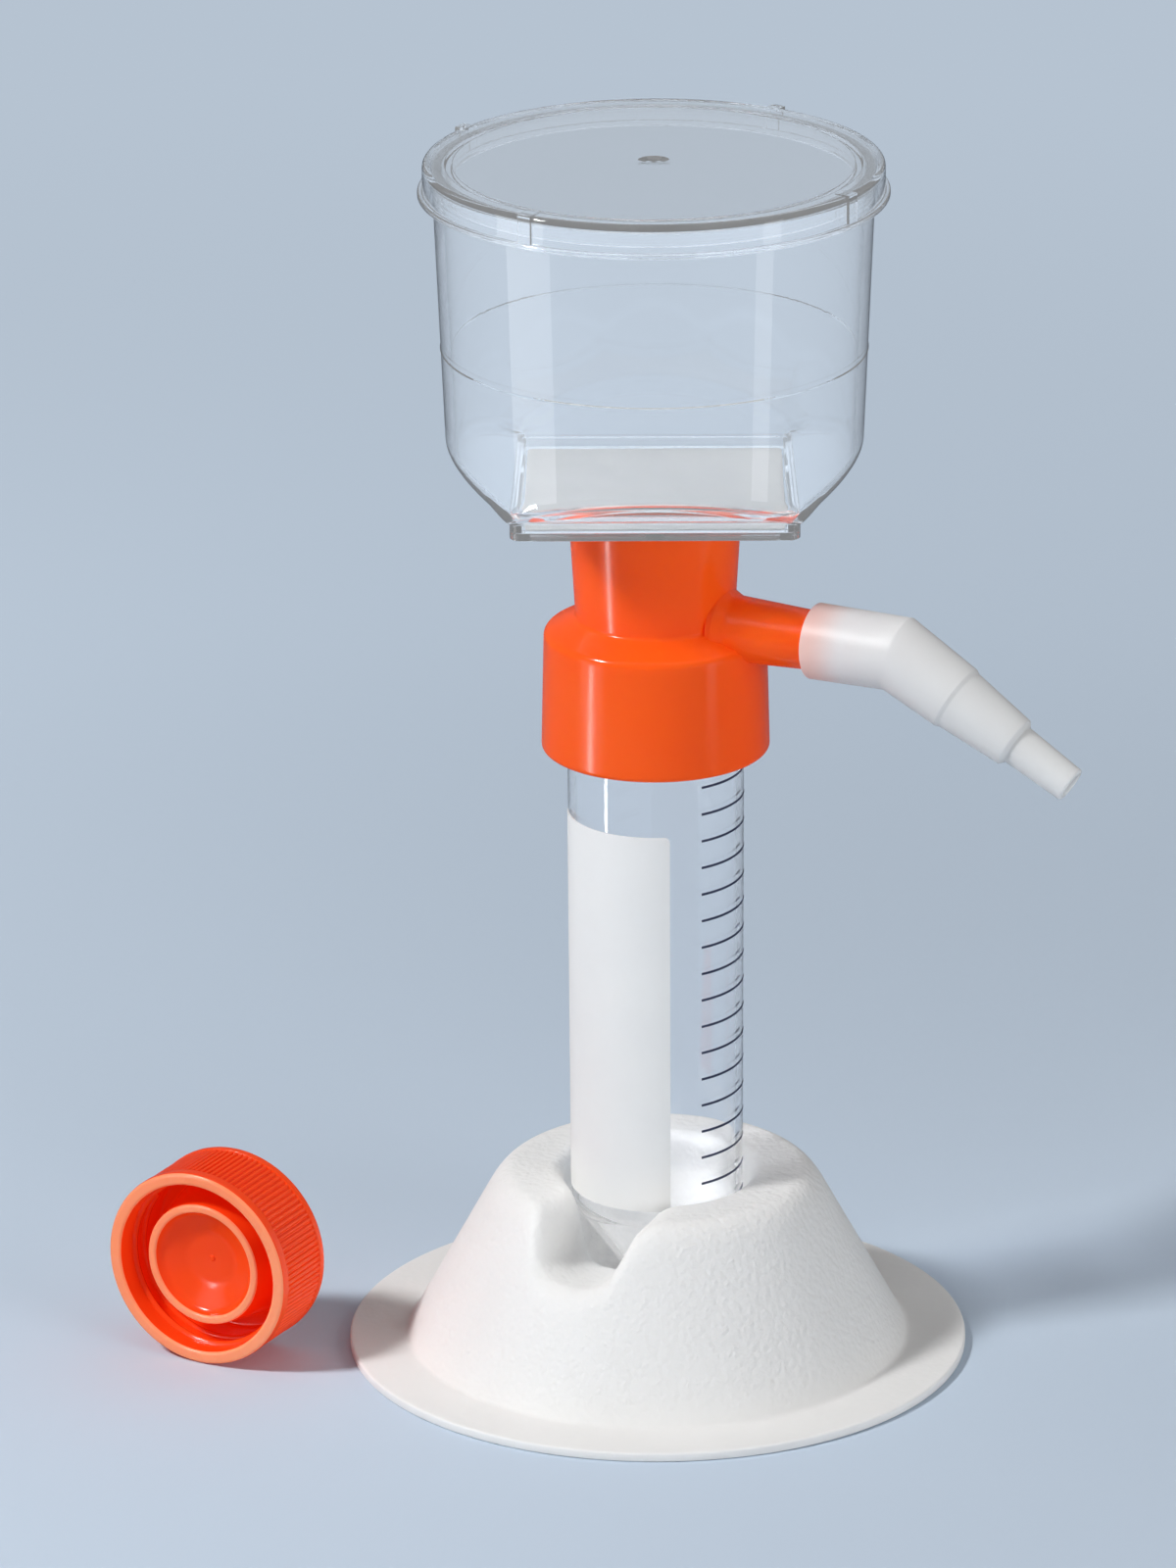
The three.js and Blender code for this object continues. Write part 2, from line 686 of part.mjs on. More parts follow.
// Mouth at z = 0, top at its height: a threaded skirt round a hollow plug with a dished face.
function tubeCap() {
  const root = capRadius - capRibDepth;
  const ceiling = capHeight - capTopWall;
  const bevel = 0.5 * capRibDepth;
  const lipBore = capPlugRadius - 0.8 * capPlugWall;
  const dish = capPlugRecess + capDishDepth;
  const wellRadius = capPlugRootRadius - capPlugWall;
  const wellFloor = dish + capPlugWall;
  const body = turned([
    [0, dish],
    [0.55 * lipBore, dish - 0.12 * capDishDepth, 4],
    [lipBore, capPlugRecess + 0.25 * capDishDepth, 1.5],
    [lipBore, capPlugRecess, 0.3 * capPlugWall],
    [capPlugRadius, capPlugRecess, 0.3 * capPlugWall],
    [capPlugRootRadius, ceiling],
    [capBore, ceiling],
    [capBore, 0, 0.5],
    [capRadius, 0, 0.5],
    [capRadius, capMouthBand],
    [root - 0.1, capMouthBand + bevel],
    [root - 0.1, capHeight - capTopBand - bevel],
    [capRadius, capHeight - capTopBand],
    [capRadius, capHeight, 1.1],
    [wellRadius, capHeight, 0.8],
    [wellRadius - 0.15 * (capHeight - wellFloor), wellFloor, 1.2],
    [0, wellFloor],
  ], 36, 2);
  return geometryOf(joined(body, capGrip()));
}

// ---- Assembly ----
add('stand', stand(), materials.stand);
add('centrifuge_tube', centrifugeTube(), materials.tube);
add('writing_patch', writingPatch(), materials.ink);
add('vacuum_adapter', vacuumAdapter(), materials.orange);
add('hose_connector', hoseConnector(), materials.connector);
add('membrane_support', membraneSupport(), materials.support);
add('membrane', membrane(), materials.membrane);
add('funnel', funnel(), materials.funnel);
add('funnel_lid', funnelLid(), materials.lid);

const capOnEdge = new THREE.Group();
capOnEdge.position.set(capX, capY, capRadius);
capOnEdge.rotation.z = -radians(capTurn);
const cap = add('tube_cap', tubeCap(), materials.capOrange);
cap.rotation.x = -Math.PI / 2;
capOnEdge.add(cap);
group.add(capOnEdge);

// The origin lies under the middle of the set's width.
const extent = new THREE.Box3().setFromObject(group, true);
const middle = (extent.min.x + extent.max.x) / 2;
group.children.forEach((piece) => {
  piece.position.x -= middle;
});

export default group;
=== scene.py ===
# Vacuum filtration unit for a 50 mL conical tube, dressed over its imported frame.
# Azimuths are in degrees from the front (-Y), positive to the right.

import bpy
import json
import math
from mathutils import Matrix, Vector


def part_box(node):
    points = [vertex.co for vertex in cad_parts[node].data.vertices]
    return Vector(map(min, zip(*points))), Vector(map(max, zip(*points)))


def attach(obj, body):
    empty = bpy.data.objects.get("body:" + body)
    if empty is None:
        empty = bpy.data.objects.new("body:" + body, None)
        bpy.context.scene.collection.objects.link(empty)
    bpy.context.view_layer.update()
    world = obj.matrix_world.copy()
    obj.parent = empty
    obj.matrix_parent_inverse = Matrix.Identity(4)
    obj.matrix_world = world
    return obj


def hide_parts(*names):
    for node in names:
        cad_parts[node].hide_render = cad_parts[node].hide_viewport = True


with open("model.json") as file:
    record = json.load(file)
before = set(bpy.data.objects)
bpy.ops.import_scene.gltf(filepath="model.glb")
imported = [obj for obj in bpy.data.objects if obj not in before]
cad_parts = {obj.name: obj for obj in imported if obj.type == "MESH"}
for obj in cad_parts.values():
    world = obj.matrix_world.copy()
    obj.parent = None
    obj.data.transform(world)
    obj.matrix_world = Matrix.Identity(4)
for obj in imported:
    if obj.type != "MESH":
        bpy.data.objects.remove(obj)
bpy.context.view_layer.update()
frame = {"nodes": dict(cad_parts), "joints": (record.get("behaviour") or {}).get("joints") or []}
joints = {joint["name"]: joint for joint in frame["joints"]}
axisPlace = Vector(joints["tube_turn"]["pos_m"])  # the tube's axis on the bench; pieces are made round it
mm = 0.001
print("frame loaded:", ", ".join(sorted(frame["nodes"])))

# camera

cameraSet = {
    "place": (-0.00009, -1.44124, 0.62154),
    "pitch": 70.0896,
    "yaw": 0.443,
    "roll": -0.3472,
    "lens": 212.38,
}


def addCamera():
    camera = bpy.data.objects.new("camera", bpy.data.cameras.new("camera"))
    bpy.context.scene.collection.objects.link(camera)
    yaw, pitch, roll = (math.radians(cameraSet[key]) for key in ("yaw", "pitch", "roll"))
    turn = Matrix.Rotation(yaw, 4, "Z") @ Matrix.Rotation(pitch, 4, "X") @ Matrix.Rotation(roll, 4, "Z")
    camera.matrix_world = Matrix.Translation(axisPlace + Vector(cameraSet["place"])) @ turn
    camera.data.lens = cameraSet["lens"]
    camera.data.sensor_width = 36
    bpy.context.scene.camera = camera


addCamera()

# node and mesh helpers


def addNode(tree, kind, inputs=None, **settings):  # inputs take plain values or other nodes' sockets
    node = tree.nodes.new(kind)
    for key, value in settings.items():
        setattr(node, key, value)
    for key, value in (inputs or {}).items():
        if isinstance(value, bpy.types.NodeSocket):
            tree.links.new(value, node.inputs[key])
        else:
            node.inputs[key].default_value = value
    return node


def shape(tree, kind, inputs=None):  # a geometry node's first output
    return addNode(tree, "GeometryNode" + kind, inputs).outputs[0]


def maths(tree, operation, first, second):
    return addNode(tree, "ShaderNodeMath", {0: first, 1: second}, operation=operation).outputs[0]


def vector(tree, x=0.0, y=0.0, z=0.0):
    return addNode(tree, "ShaderNodeCombineXYZ", {0: x, 1: y, 2: z}).outputs[0]


def ranged(tree, value, low, high, toLow=0.0, toHigh=1.0, curve="LINEAR"):
    return addNode(tree, "ShaderNodeMapRange", {
        "Value": value, "From Min": low, "From Max": high, "To Min": toLow, "To Max": toHigh,
    }, interpolation_type=curve).outputs[0]


def mixedColour(tree, share, first, second):
    mix = addNode(tree, "ShaderNodeMix", {"Factor": share, "A": first, "B": second}, data_type="RGBA")
    return mix.outputs["Result"]


def newTree(name, kind, inputs, outputs):  # sockets are (label, kind)
    tree = bpy.data.node_groups.new(name, kind)
    for way, sockets in (("INPUT", inputs), ("OUTPUT", outputs)):
        for label, socketKind in sockets:
            tree.interface.new_socket(label, in_out=way, socket_type="NodeSocket" + socketKind)
    return tree, tree.nodes.new("NodeGroupInput").outputs, tree.nodes.new("NodeGroupOutput").inputs


def planWay(azimuth):
    turn = math.radians(azimuth)
    return Vector((math.sin(turn), -math.cos(turn), 0.0))


def roundedOutline(corners, steps=6, hold=0.0):  # corners are (x, y) or (x, y, fillet)
    arcs = []
    for i, corner in enumerate(corners):
        here = Vector(corner[:2])
        radius = corner[2] if len(corner) > 2 else 0.0
        if radius == 0.0:
            arcs.append([here])
            continue
        back = Vector(corners[i - 1][:2]) - here
        ahead = Vector(corners[(i + 1) % len(corners)][:2]) - here
        room = 0.48 * min(back.length, ahead.length)  # fillets at both ends of a side stay apart
        back.normalize()
        ahead.normalize()
        half = 0.5 * math.acos(max(-0.99999, min(1.0, back.dot(ahead))))
        reach = min(radius / math.tan(half), room)
        centre = here + (back + ahead) * (reach / (2 * math.cos(half) ** 2))
        start = here + back * reach - centre
        turn = math.copysign(math.pi - 2 * half, back.y * ahead.x - back.x * ahead.y)
        arcs.append([centre + Matrix.Rotation(turn * k / steps, 2) @ start for k in range(steps + 1)])
    if hold == 0.0:
        return [point for arc in arcs for point in arc]
    points = []
    for arc, following in zip(arcs, arcs[1:] + arcs[:1]):  # a point near both ends of each straight span
        span = following[0] - arc[-1]
        inset = span * min(hold / max(span.length, 1e-9), 0.25)
        points += [*arc, arc[-1] + inset, following[0] - inset]
    return points


def shadeSoft(mesh, sharp):
    mesh.shade_smooth()
    mesh.set_sharp_from_angle(angle=math.radians(sharp))


def addPiece(name, vertices, faces, finish, sharp=33):
    mesh = bpy.data.meshes.new(name)
    mesh.from_pydata(vertices, [], faces)
    mesh.materials.append(finish)
    shadeSoft(mesh, sharp)
    piece = bpy.data.objects.new(name, mesh)
    bpy.context.scene.collection.objects.link(piece)
    return piece


def ringFaces(rings):  # between closed rings of vertex numbers, the last joined to the first
    faces = []
    for low, high in zip(rings, rings[1:] + rings[:1]):
        for i in range(len(low)):
            j = (i + 1) % len(low)
            corners = list(dict.fromkeys((low[i], low[j], high[j], high[i])))
            if len(corners) > 2:
                faces.append(corners)
    return faces


def skinPiece(name, columns, profileAt, finish, sharp=33):  # closed profiles in r and z, anticlockwise
    profiles = [profileAt(column) for column in columns]  # a column gives its azimuth at a radius
    vertices, rings = [], []
    for k in range(len(profiles[0])):
        if max(profile[k].x for profile in profiles) < 1e-7:  # a pole on the axis
            rings.append([len(vertices)] * len(columns))
            vertices.append((0.0, 0.0, profiles[0][k].y))
            continue
        rings.append(range(len(vertices), len(vertices) + len(columns)))
        for profile, column in zip(profiles, columns):
            radius, z = profile[k]
            vertices.append((*(planWay(column(radius)) * radius).xy, z))
    return addPiece(name, vertices, ringFaces(rings), finish, sharp)


def straightColumn(azimuth):
    return lambda radius: azimuth


def turnedPiece(name, corners, finish, segments):
    outline = roundedOutline(corners, hold=0.25 * mm)
    columns = [straightColumn(360 * i / segments) for i in range(segments)]
    return skinPiece(name, columns, lambda column: outline, finish)


def rod(name, radius, low, high, finish, segments=64, edge=0.0):
    corners = [(0.0, low), (radius, low, edge), (radius, high), (0.0, high)]
    return turnedPiece(name, corners, finish, segments)


def keepResult(piece, modifier, sharp=33):  # turns what the modifier makes into the piece's plain mesh
    bpy.context.view_layer.update()
    seen = piece.evaluated_get(bpy.context.evaluated_depsgraph_get())
    mesh = bpy.data.meshes.new_from_object(seen)
    piece.modifiers.remove(modifier)
    piece.data = mesh
    shadeSoft(mesh, sharp)


def newGrowth(name, *sizes):  # a tree that adds to a piece; its sizes are named inputs
    kinds = [(size, "Int" if size == "Count" else "Float") for size in sizes]
    inputs = [("Geometry", "Geometry"), *kinds, ("Finish", "Material")]
    tree, given, _ = newTree(name, "GeometryNodeTree", inputs, [("Geometry", "Geometry")])
    return tree, given


def realized(tree, copied):
    return shape(tree, "RealizeInstances", {"Geometry": copied})


def endGrowth(tree, grown):
    finish = tree.nodes["Group Input"].outputs["Finish"]
    final = shape(tree, "SetMaterial", {"Geometry": realized(tree, grown), "Material": finish})
    tree.links.new(final, tree.nodes["Group Output"].inputs[0])
    return tree


def together(node, socket, parts):
    for part in parts:
        node.id_data.links.new(part, node.inputs[socket])
    return node.outputs[0]


def joined(tree, *parts):
    return together(addNode(tree, "GeometryNodeJoinGeometry"), 0, parts)


def welded(tree, *parts):
    weld = addNode(tree, "GeometryNodeMeshBoolean", operation="UNION", solver="EXACT")
    return together(weld, "Mesh 2", parts)


def copies(tree, points, part, **placing):  # one copy of the part at each point
    return shape(tree, "InstanceOnPoints", {"Points": points, "Instance": part, **placing})


def swept(tree, path, section):
    return shape(tree, "CurveToMesh", {"Curve": path, "Profile Curve": section, "Fill Caps": True})


def fadedSweep(tree, path, section, steepness, least):  # thins out round at both ends of the path
    share = addNode(tree, "GeometryNodeSplineParameter").outputs["Factor"]
    fromEnd = maths(tree, "MINIMUM", share, maths(tree, "SUBTRACT", 1.0, share))
    fade = maths(tree, "MINIMUM", maths(tree, "MULTIPLY", fromEnd, steepness), 1.0)
    thickness = maths(tree, "MAXIMUM", maths(tree, "POWER", fade, 0.5), least)
    return swept(tree, shape(tree, "SetCurveRadius", {"Curve": path, "Radius": thickness}), section)


def pointPlace(tree):
    return addNode(tree, "ShaderNodeSeparateXYZ", {0: shape(tree, "InputPosition")}).outputs


def growNodes(piece, tree, values, sharp=33):
    modifier = piece.modifiers.new(tree.name, "NODES")
    modifier.node_group = tree
    inputs = (item for item in tree.interface.items_tree if item.in_out == "INPUT")
    identifiers = {item.name: item.identifier for item in inputs}
    for label, value in values.items():
        modifier[identifiers[label]] = value
    keepResult(piece, modifier, sharp)


def combine(piece, tool, operation):  # the tool is used up
    modifier = piece.modifiers.new(operation, "BOOLEAN")
    modifier.operation = operation
    modifier.solver = "EXACT"
    modifier.object = tool
    keepResult(piece, modifier)
    bpy.data.objects.remove(tool)


def moved(piece, matrix):  # the place goes into the mesh
    piece.data.transform(matrix)
    return piece


def boxRoundAxis(node):
    return [corner - axisPlace for corner in map(Vector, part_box(node))]


def seat(piece, body, slotName, *nodes):
    moved(piece, Matrix.Translation(axisPlace))
    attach(piece, body)
    if nodes:
        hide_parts(*nodes)
    print("seated", piece.name, "on", body, "with", len(piece.data.polygons), "faces")


# shared surface effects

black = (0.0, 0.0, 0.0, 1.0)


def ownPlace(tree):
    return addNode(tree, "ShaderNodeTexCoord").outputs["Object"]


def ownHeight(tree):
    return addNode(tree, "ShaderNodeSeparateXYZ", {0: ownPlace(tree)}).outputs["Z"]


def noise(tree, scale, detail):
    return addNode(tree, "ShaderNodeTexNoise", {
        "Vector": ownPlace(tree), "Scale": scale, "Detail": detail,
    }).outputs


def newEffect(name, inputs, outputs):
    return newTree(name, "ShaderNodeTree", inputs, outputs)


def makeMouldRipple():  # slow waviness of a moulded face, with a little fine unevenness
    sizes = ("Wave Size", "Fine Size", "Fine Share", "Smooth", "Rough")
    tree, given, made = newEffect(
        "mouldRipple", [(label, "Float") for label in sizes], [("Height", "Float"), ("Roughness", "Float")],
    )
    height = addNode(tree, "ShaderNodeMix", {
        "Factor": given["Fine Share"], "A": noise(tree, given["Wave Size"], detail=1.0)[0],
        "B": noise(tree, given["Fine Size"], detail=3.0)[0],
    }).outputs[0]
    tree.links.new(height, made["Height"])
    tree.links.new(ranged(tree, height, 0.35, 0.65, given["Smooth"], given["Rough"]), made["Roughness"])
    return tree


def makePebbleGrain():  # rounded pebbles of uneven size, broken up by fine noise
    tree, given, made = newEffect(
        "pebbleGrain", [("Pebble Size", "Float"), ("Fine Share", "Float")],
        [("Height", "Float"), ("Hollows", "Float")],
    )
    bend = (1.6 * mm,) * 3  # how far the rows of pebbles are bent aside
    shift = addNode(tree, "ShaderNodeVectorMath", {
        0: noise(tree, scale=300.0, detail=2.0)["Color"], 1: bend,
    }, operation="MULTIPLY")
    bent = addNode(tree, "ShaderNodeVectorMath", {0: ownPlace(tree), 1: shift.outputs[0]})
    cells = addNode(tree, "ShaderNodeTexVoronoi", {
        "Vector": bent.outputs[0], "Scale": given["Pebble Size"], "Smoothness": 0.8,
    }, feature="SMOOTH_F1")
    dome = maths(tree, "SUBTRACT", 1.0, cells.outputs["Distance"])
    height = addNode(tree, "ShaderNodeMix", {
        "Factor": given["Fine Share"], "A": dome, "B": noise(tree, scale=1800.0, detail=2.0)[0],
    }).outputs[0]
    tree.links.new(height, made["Height"])
    tree.links.new(ranged(tree, height, 0.3, 0.75), made["Hollows"])
    return tree


def makeColourDrift():  # the resin's slow change of shade
    tree, given, made = newEffect(
        "colourDrift", [("Colour", "Color"), ("Other", "Color"), ("Patch Size", "Float")],
        [("Colour", "Color")],
    )
    share = ranged(tree, noise(tree, given["Patch Size"], detail=3.0)[0], 0.35, 0.65)
    tree.links.new(mixedColour(tree, share, given["Colour"], given["Other"]), made["Colour"])
    return tree


mouldRipple = makeMouldRipple()
pebbleGrain = makePebbleGrain()
colourDrift = makeColourDrift()


def newFinish(name, **constants):
    finish = bpy.data.materials.new(name)
    finish.use_nodes = True
    tree = finish.node_tree
    surface = tree.nodes["Principled BSDF"]
    for key, value in constants.items():
        surface.inputs[key.replace("_", " ")].default_value = value
    return finish, tree, surface


def raiseBump(tree, surface, height, distance):
    bump = addNode(tree, "ShaderNodeBump", {"Height": height, "Strength": 1.0, "Distance": distance})
    tree.links.new(bump.outputs[0], surface.inputs["Normal"])


def driftColour(tree, surface, look):
    drift = addNode(tree, "ShaderNodeGroup", {
        "Colour": (*look["colour"], 1.0), "Other": (*look["other"], 1.0), "Patch Size": look["patch"],
    }, node_tree=colourDrift).outputs[0]
    tree.links.new(drift, surface.inputs["Base Color"])
    return drift


def rippleFace(tree, surface, look):
    ripple = addNode(tree, "ShaderNodeGroup", {
        "Wave Size": look["wave"], "Fine Size": look["fine"], "Fine Share": look["share"],
        "Smooth": look["smooth"], "Rough": look["rough"],
    }, node_tree=mouldRipple).outputs
    tree.links.new(ripple["Roughness"], surface.inputs["Roughness"])
    raiseBump(tree, surface, ripple["Height"], look["depth"])


def mirroredShare(tree):  # 1 where a face mirrors, 0 where it is looked through
    path = addNode(tree, "ShaderNodeLightPath").outputs
    through = maths(tree, "SUBTRACT", 1.0, path["Is Transmission Ray"])
    return maths(tree, "MULTIPLY", path["Is Glossy Ray"], through)


def seenShare(tree):  # 1 for the eye, straight or through clear walls
    path = addNode(tree, "ShaderNodeLightPath").outputs
    return maths(tree, "MAXIMUM", path["Is Camera Ray"], path["Is Transmission Ray"])


def passLamps(tree, surface, tint):  # lamps shine through the wall, so that what it holds is lit
    path = addNode(tree, "ShaderNodeLightPath").outputs
    through = addNode(tree, "ShaderNodeBsdfTransparent", {"Color": (*tint, 1.0)})
    mixed = addNode(tree, "ShaderNodeMixShader", {
        0: path["Is Shadow Ray"], 1: surface.outputs[0], 2: through.outputs[0],
    })
    tree.links.new(mixed.outputs[0], tree.nodes["Material Output"].inputs["Surface"])


# finishes

standLook = {
    "colour": (0.93, 0.92, 0.90),
    "other": (0.90, 0.89, 0.87),
    "patch": 40.0,
    "pebbles": 880.0,
    "fineShare": 0.3,
    "smooth": 0.5,
    "rough": 0.72,
    "flatBelow": 1.6 * mm,  # the flange was clamped flat, the rest drawn and pebbled
    "formedAbove": 6 * mm,
    "flatShare": 0.25,
    "relief": 0.27 * mm,
}


def makeStandFinish():  # matt white, moulded with a pebbled skin
    look = standLook
    finish, tree, surface = newFinish(
        "standWhite", IOR=1.46, Subsurface_Weight=0.3, Subsurface_Radius=(0.004, 0.004, 0.0038),
        Subsurface_Scale=1.0,
    )
    driftColour(tree, surface, look)
    grain = addNode(tree, "ShaderNodeGroup", {
        "Pebble Size": look["pebbles"], "Fine Share": look["fineShare"],
    }, node_tree=pebbleGrain).outputs
    roughness = ranged(tree, grain["Hollows"], 0.0, 1.0, look["rough"], look["smooth"])
    tree.links.new(roughness, surface.inputs["Roughness"])
    formed = ranged(tree, ownHeight(tree), look["flatBelow"], look["formedAbove"], look["flatShare"])
    raiseBump(tree, surface, maths(tree, "MULTIPLY", grain["Height"], formed), look["relief"])
    return finish


orangeLook = {"patch": 25.0, "wave": 90.0, "fine": 1400.0, "share": 0.12, "depth": 0.05 * mm}
orangeLooks = {
    "adapterOrange": {
        "colour": (0.87, 0.115, 0.009), "other": (0.86, 0.095, 0.008), "smooth": 0.13, "rough": 0.2,
    },
    "capOrange": {
        "colour": (0.84, 0.072, 0.008), "other": (0.83, 0.058, 0.008), "smooth": 0.12, "rough": 0.2,
    },
    # the cap's lips: a paler copy of its orange, painted light for a highlight and for light shining through
    "capPaintedLitRim": {
        "colour": (0.95, 0.36, 0.18), "other": (0.93, 0.28, 0.12), "smooth": 0.2, "rough": 0.3,
    },
}


def makeOrangeFinish(name):  # glossy polyethylene, with a faint painted red glow that keeps its shaded side red
    look = {**orangeLook, **orangeLooks[name]}
    # the red emission is painted light: the resin glows a little, though it is no lamp
    finish, tree, surface = newFinish(
        name, IOR=1.45, Specular_IOR_Level=0.35, Emission_Color=(1.0, 0.02, 0.0, 1.0),
        Emission_Strength=0.14, Subsurface_Weight=0.2, Subsurface_Radius=(0.004, 0.0012, 0.0003),
        Subsurface_Scale=1.0,
    )
    driftColour(tree, surface, look)
    rippleFace(tree, surface, look)
    return finish


clearLook = {  # of every clear piece, apart from what it sets for itself
    "colour": (0.99, 0.995, 1.0), "ior": 1.4, "paintedEdgeGlow": 0.045,
    "patch": 20.0, "fine": 1200.0, "share": 0.04, "depth": 0.03 * mm,
}
clearLooks = {
    "clearTube": {
        "colour": (0.985, 0.99, 1.0), "ior": 1.22, "paintedEdgeGlow": 0.035, "wave": 70.0, "smooth": 0.02,
        "rough": 0.06, "coneGlow": 0.065, "coneGlowEnd": 27 * mm,  # the cone glows a little white: painted light that lifts the shaded socket seen through it
    },
    "clearFunnel": {"wave": 35.0, "smooth": 0.0, "rough": 0.03},
    "clearLid": {"wave": 30.0, "smooth": 0.0, "rough": 0.03},
    "clearSupport": {"wave": 120.0, "smooth": 0.03, "rough": 0.08},
}


def makeClearFinish(name):
    look = {**clearLook, **clearLooks[name]}
    colour, insideGlow = look["colour"], look["paintedEdgeGlow"]
    finish, tree, surface = newFinish(
        name, IOR=look["ior"], Transmission_Weight=1.0, Coat_Weight=0.6, Coat_IOR=1.5, Coat_Roughness=0.03,
        Emission_Strength=1.0,
    )
    driftColour(tree, surface, {**look, "other": tuple(0.995 * value for value in colour)})
    rippleFace(tree, surface, look)
    # a painted glow on the inner faces stands in for light caught in the wall
    inside = addNode(tree, "ShaderNodeNewGeometry").outputs["Backfacing"]
    glow = mixedColour(tree, inside, black, (0.96 * insideGlow, 0.98 * insideGlow, insideGlow, 1.0))
    # the cone's painted glow fades out towards its top
    if "coneGlow" in look:
        end = look["coneGlowEnd"]
        share = ranged(tree, ownHeight(tree), end - 3 * mm, end, look["coneGlow"], 0.0, "SMOOTHSTEP")
        glow = mixedColour(tree, share, glow, (1.0, 1.0, 0.98, 1.0))
    tree.links.new(glow, surface.inputs["Emission Color"])
    passLamps(tree, surface, tuple(0.92 * value for value in colour))
    return finish


milkyLook = {
    "colour": (0.77, 0.77, 0.765),
    "other": (0.75, 0.75, 0.748),
    "patch": 60.0,
    "wave": 200.0,
    "fine": 1500.0,
    "share": 0.25,
    "smooth": 0.34,
    "rough": 0.46,
    "depth": 0.06 * mm,
    "mouth": (0.88, 0.50, 0.42),  # a painted orange glow, as of the spigot seen through the cloudy wall
    "spigotGlowShare": 0.75,
    "mouthFrom": 1.5 * mm,
    "mouthTo": 8 * mm,
}


def makeMilkyFinish():  # natural polypropylene, cloudy all through; its faint white emission is a painted glow, and the mouth has a painted orange tint
    look = milkyLook
    finish, tree, surface = newFinish(
        "milkyPlastic", IOR=1.49, Transmission_Weight=0.12, Subsurface_Weight=0.5,
        Subsurface_Radius=(0.003, 0.003, 0.003), Subsurface_Scale=1.0,
        Emission_Color=(1.0, 1.0, 0.98, 1.0), Emission_Strength=0.045,
    )
    drift = driftColour(tree, surface, look)
    # towards the mouth the colour turns pinkish: painted light from the orange spigot inside
    along = addNode(tree, "ShaderNodeVectorMath", {0: ownPlace(tree), 1: armWay}, operation="DOT_PRODUCT")
    mouth = armWay.dot(axisPlace) + adapterSet["armReach"]
    glow = ranged(tree, along.outputs["Value"], mouth + look["mouthFrom"], mouth + look["mouthTo"],
                  look["spigotGlowShare"], 0.0, "SMOOTHSTEP")
    tree.links.new(mixedColour(tree, glow, drift, (*look["mouth"], 1.0)), surface.inputs["Base Color"])
    rippleFace(tree, surface, look)
    return finish


flatLooks = {
    "whitePrint": {
        "ior": 1.45, "colour": (0.88, 0.875, 0.86), "other": (0.86, 0.855, 0.845), "patch": 90.0,
        "wave": 500.0, "fine": 3000.0, "share": 0.5, "smooth": 0.42, "rough": 0.6, "depth": 0.02 * mm,
        "through": (0.5, 0.5, 0.5),  # a thin layer of ink, which some light passes
    },
    "blueInk": {
        "ior": 1.45, "colour": (0.030, 0.038, 0.085), "other": (0.042, 0.050, 0.100), "patch": 200.0,
        "wave": 800.0, "fine": 4000.0, "share": 0.5, "smooth": 0.35, "rough": 0.5, "depth": 0.01 * mm,
    },
    "membraneWhite": {  # felted cellulose, a white sheet coloured grey: painted shade
        "ior": 1.4, "colour": (0.40, 0.40, 0.395), "other": (0.38, 0.38, 0.375), "patch": 120.0,
        "wave": 900.0, "fine": 5000.0, "share": 0.6, "smooth": 0.8, "rough": 0.95, "depth": 0.05 * mm,
    },
}


def makeFlatFinish(name):
    look = flatLooks[name]
    finish, tree, surface = newFinish(name, IOR=look["ior"])
    driftColour(tree, surface, look)
    rippleFace(tree, surface, look)
    if "through" in look:
        passLamps(tree, surface, look["through"])
    return finish


standFinish = makeStandFinish()
orangeFinish, capFinish, capPaintedLitRimFinish = map(makeOrangeFinish, orangeLooks)
tubeFinish, funnelFinish, lidFinish, supportFinish = map(makeClearFinish, clearLooks)
printFinish, inkFinish, membraneFinish = map(makeFlatFinish, flatLooks)
print("finishes made")

# stand

tubeLow, tubeHigh = boxRoundAxis("centrifuge_tube")
standHigh = boxRoundAxis("stand")[1]

standSet = {
    "sheet": 1.5 * mm,
    "flangeRadius": 52.05 * mm,
    "baseRadius": 42.3 * mm,  # where the slope meets the flange
    "topRadius": 26.3 * mm,  # where the slope meets the plateau
    "shoulderRoll": 4.4 * mm,  # height over which the plateau rolls into the slope
    "baseFillet": 1.2 * mm,
    "mouthFillet": 2.2 * mm,
    "socketRadius": 15.75 * mm,
    "socketFloor": 9.8 * mm,
    "socketFloorFillet": 4.0 * mm,
    "notchAzimuth": -28.3,
    "notchFloor": 19.0 * mm,  # at the socket
    "notchFloorHalf": 4.6 * mm,
    "notchWallAngle": 73.0,
    "notchFloorFillet": 5.0 * mm,
    "notchTopFillet": 4.0 * mm,
    "notchWiden": 15.6,  # share gained in width for each metre outwards
    "notchRise": 7.4,  # share lost in depth for each metre outwards
    "notchSteps": 8,
    "mouthSteps": 6,
    "underFillet": 0.2 * mm,  # at the foot of the under face, and the least at its mouth
    "floorColumns": (0.3, 0.65),  # shares of the notch's floor and wall that get a column of their own
    "wallColumns": (0.25, 0.5, 0.75),
    "footBand": 2 * mm,  # of the slope, above its foot
    "edgeUnder": 0.15 * mm,
    "edgeOver": 0.4 * mm,
    "flangeRing": 0.8 * mm,  # from the edge
    "footRing": 1.6 * mm,  # from the slope
    "sideEnd": 75.0,  # degrees from the notch where the bent columns end
    "sideSteps": 40,
    "restSteps": 90,
    "topSteps": 36,
}


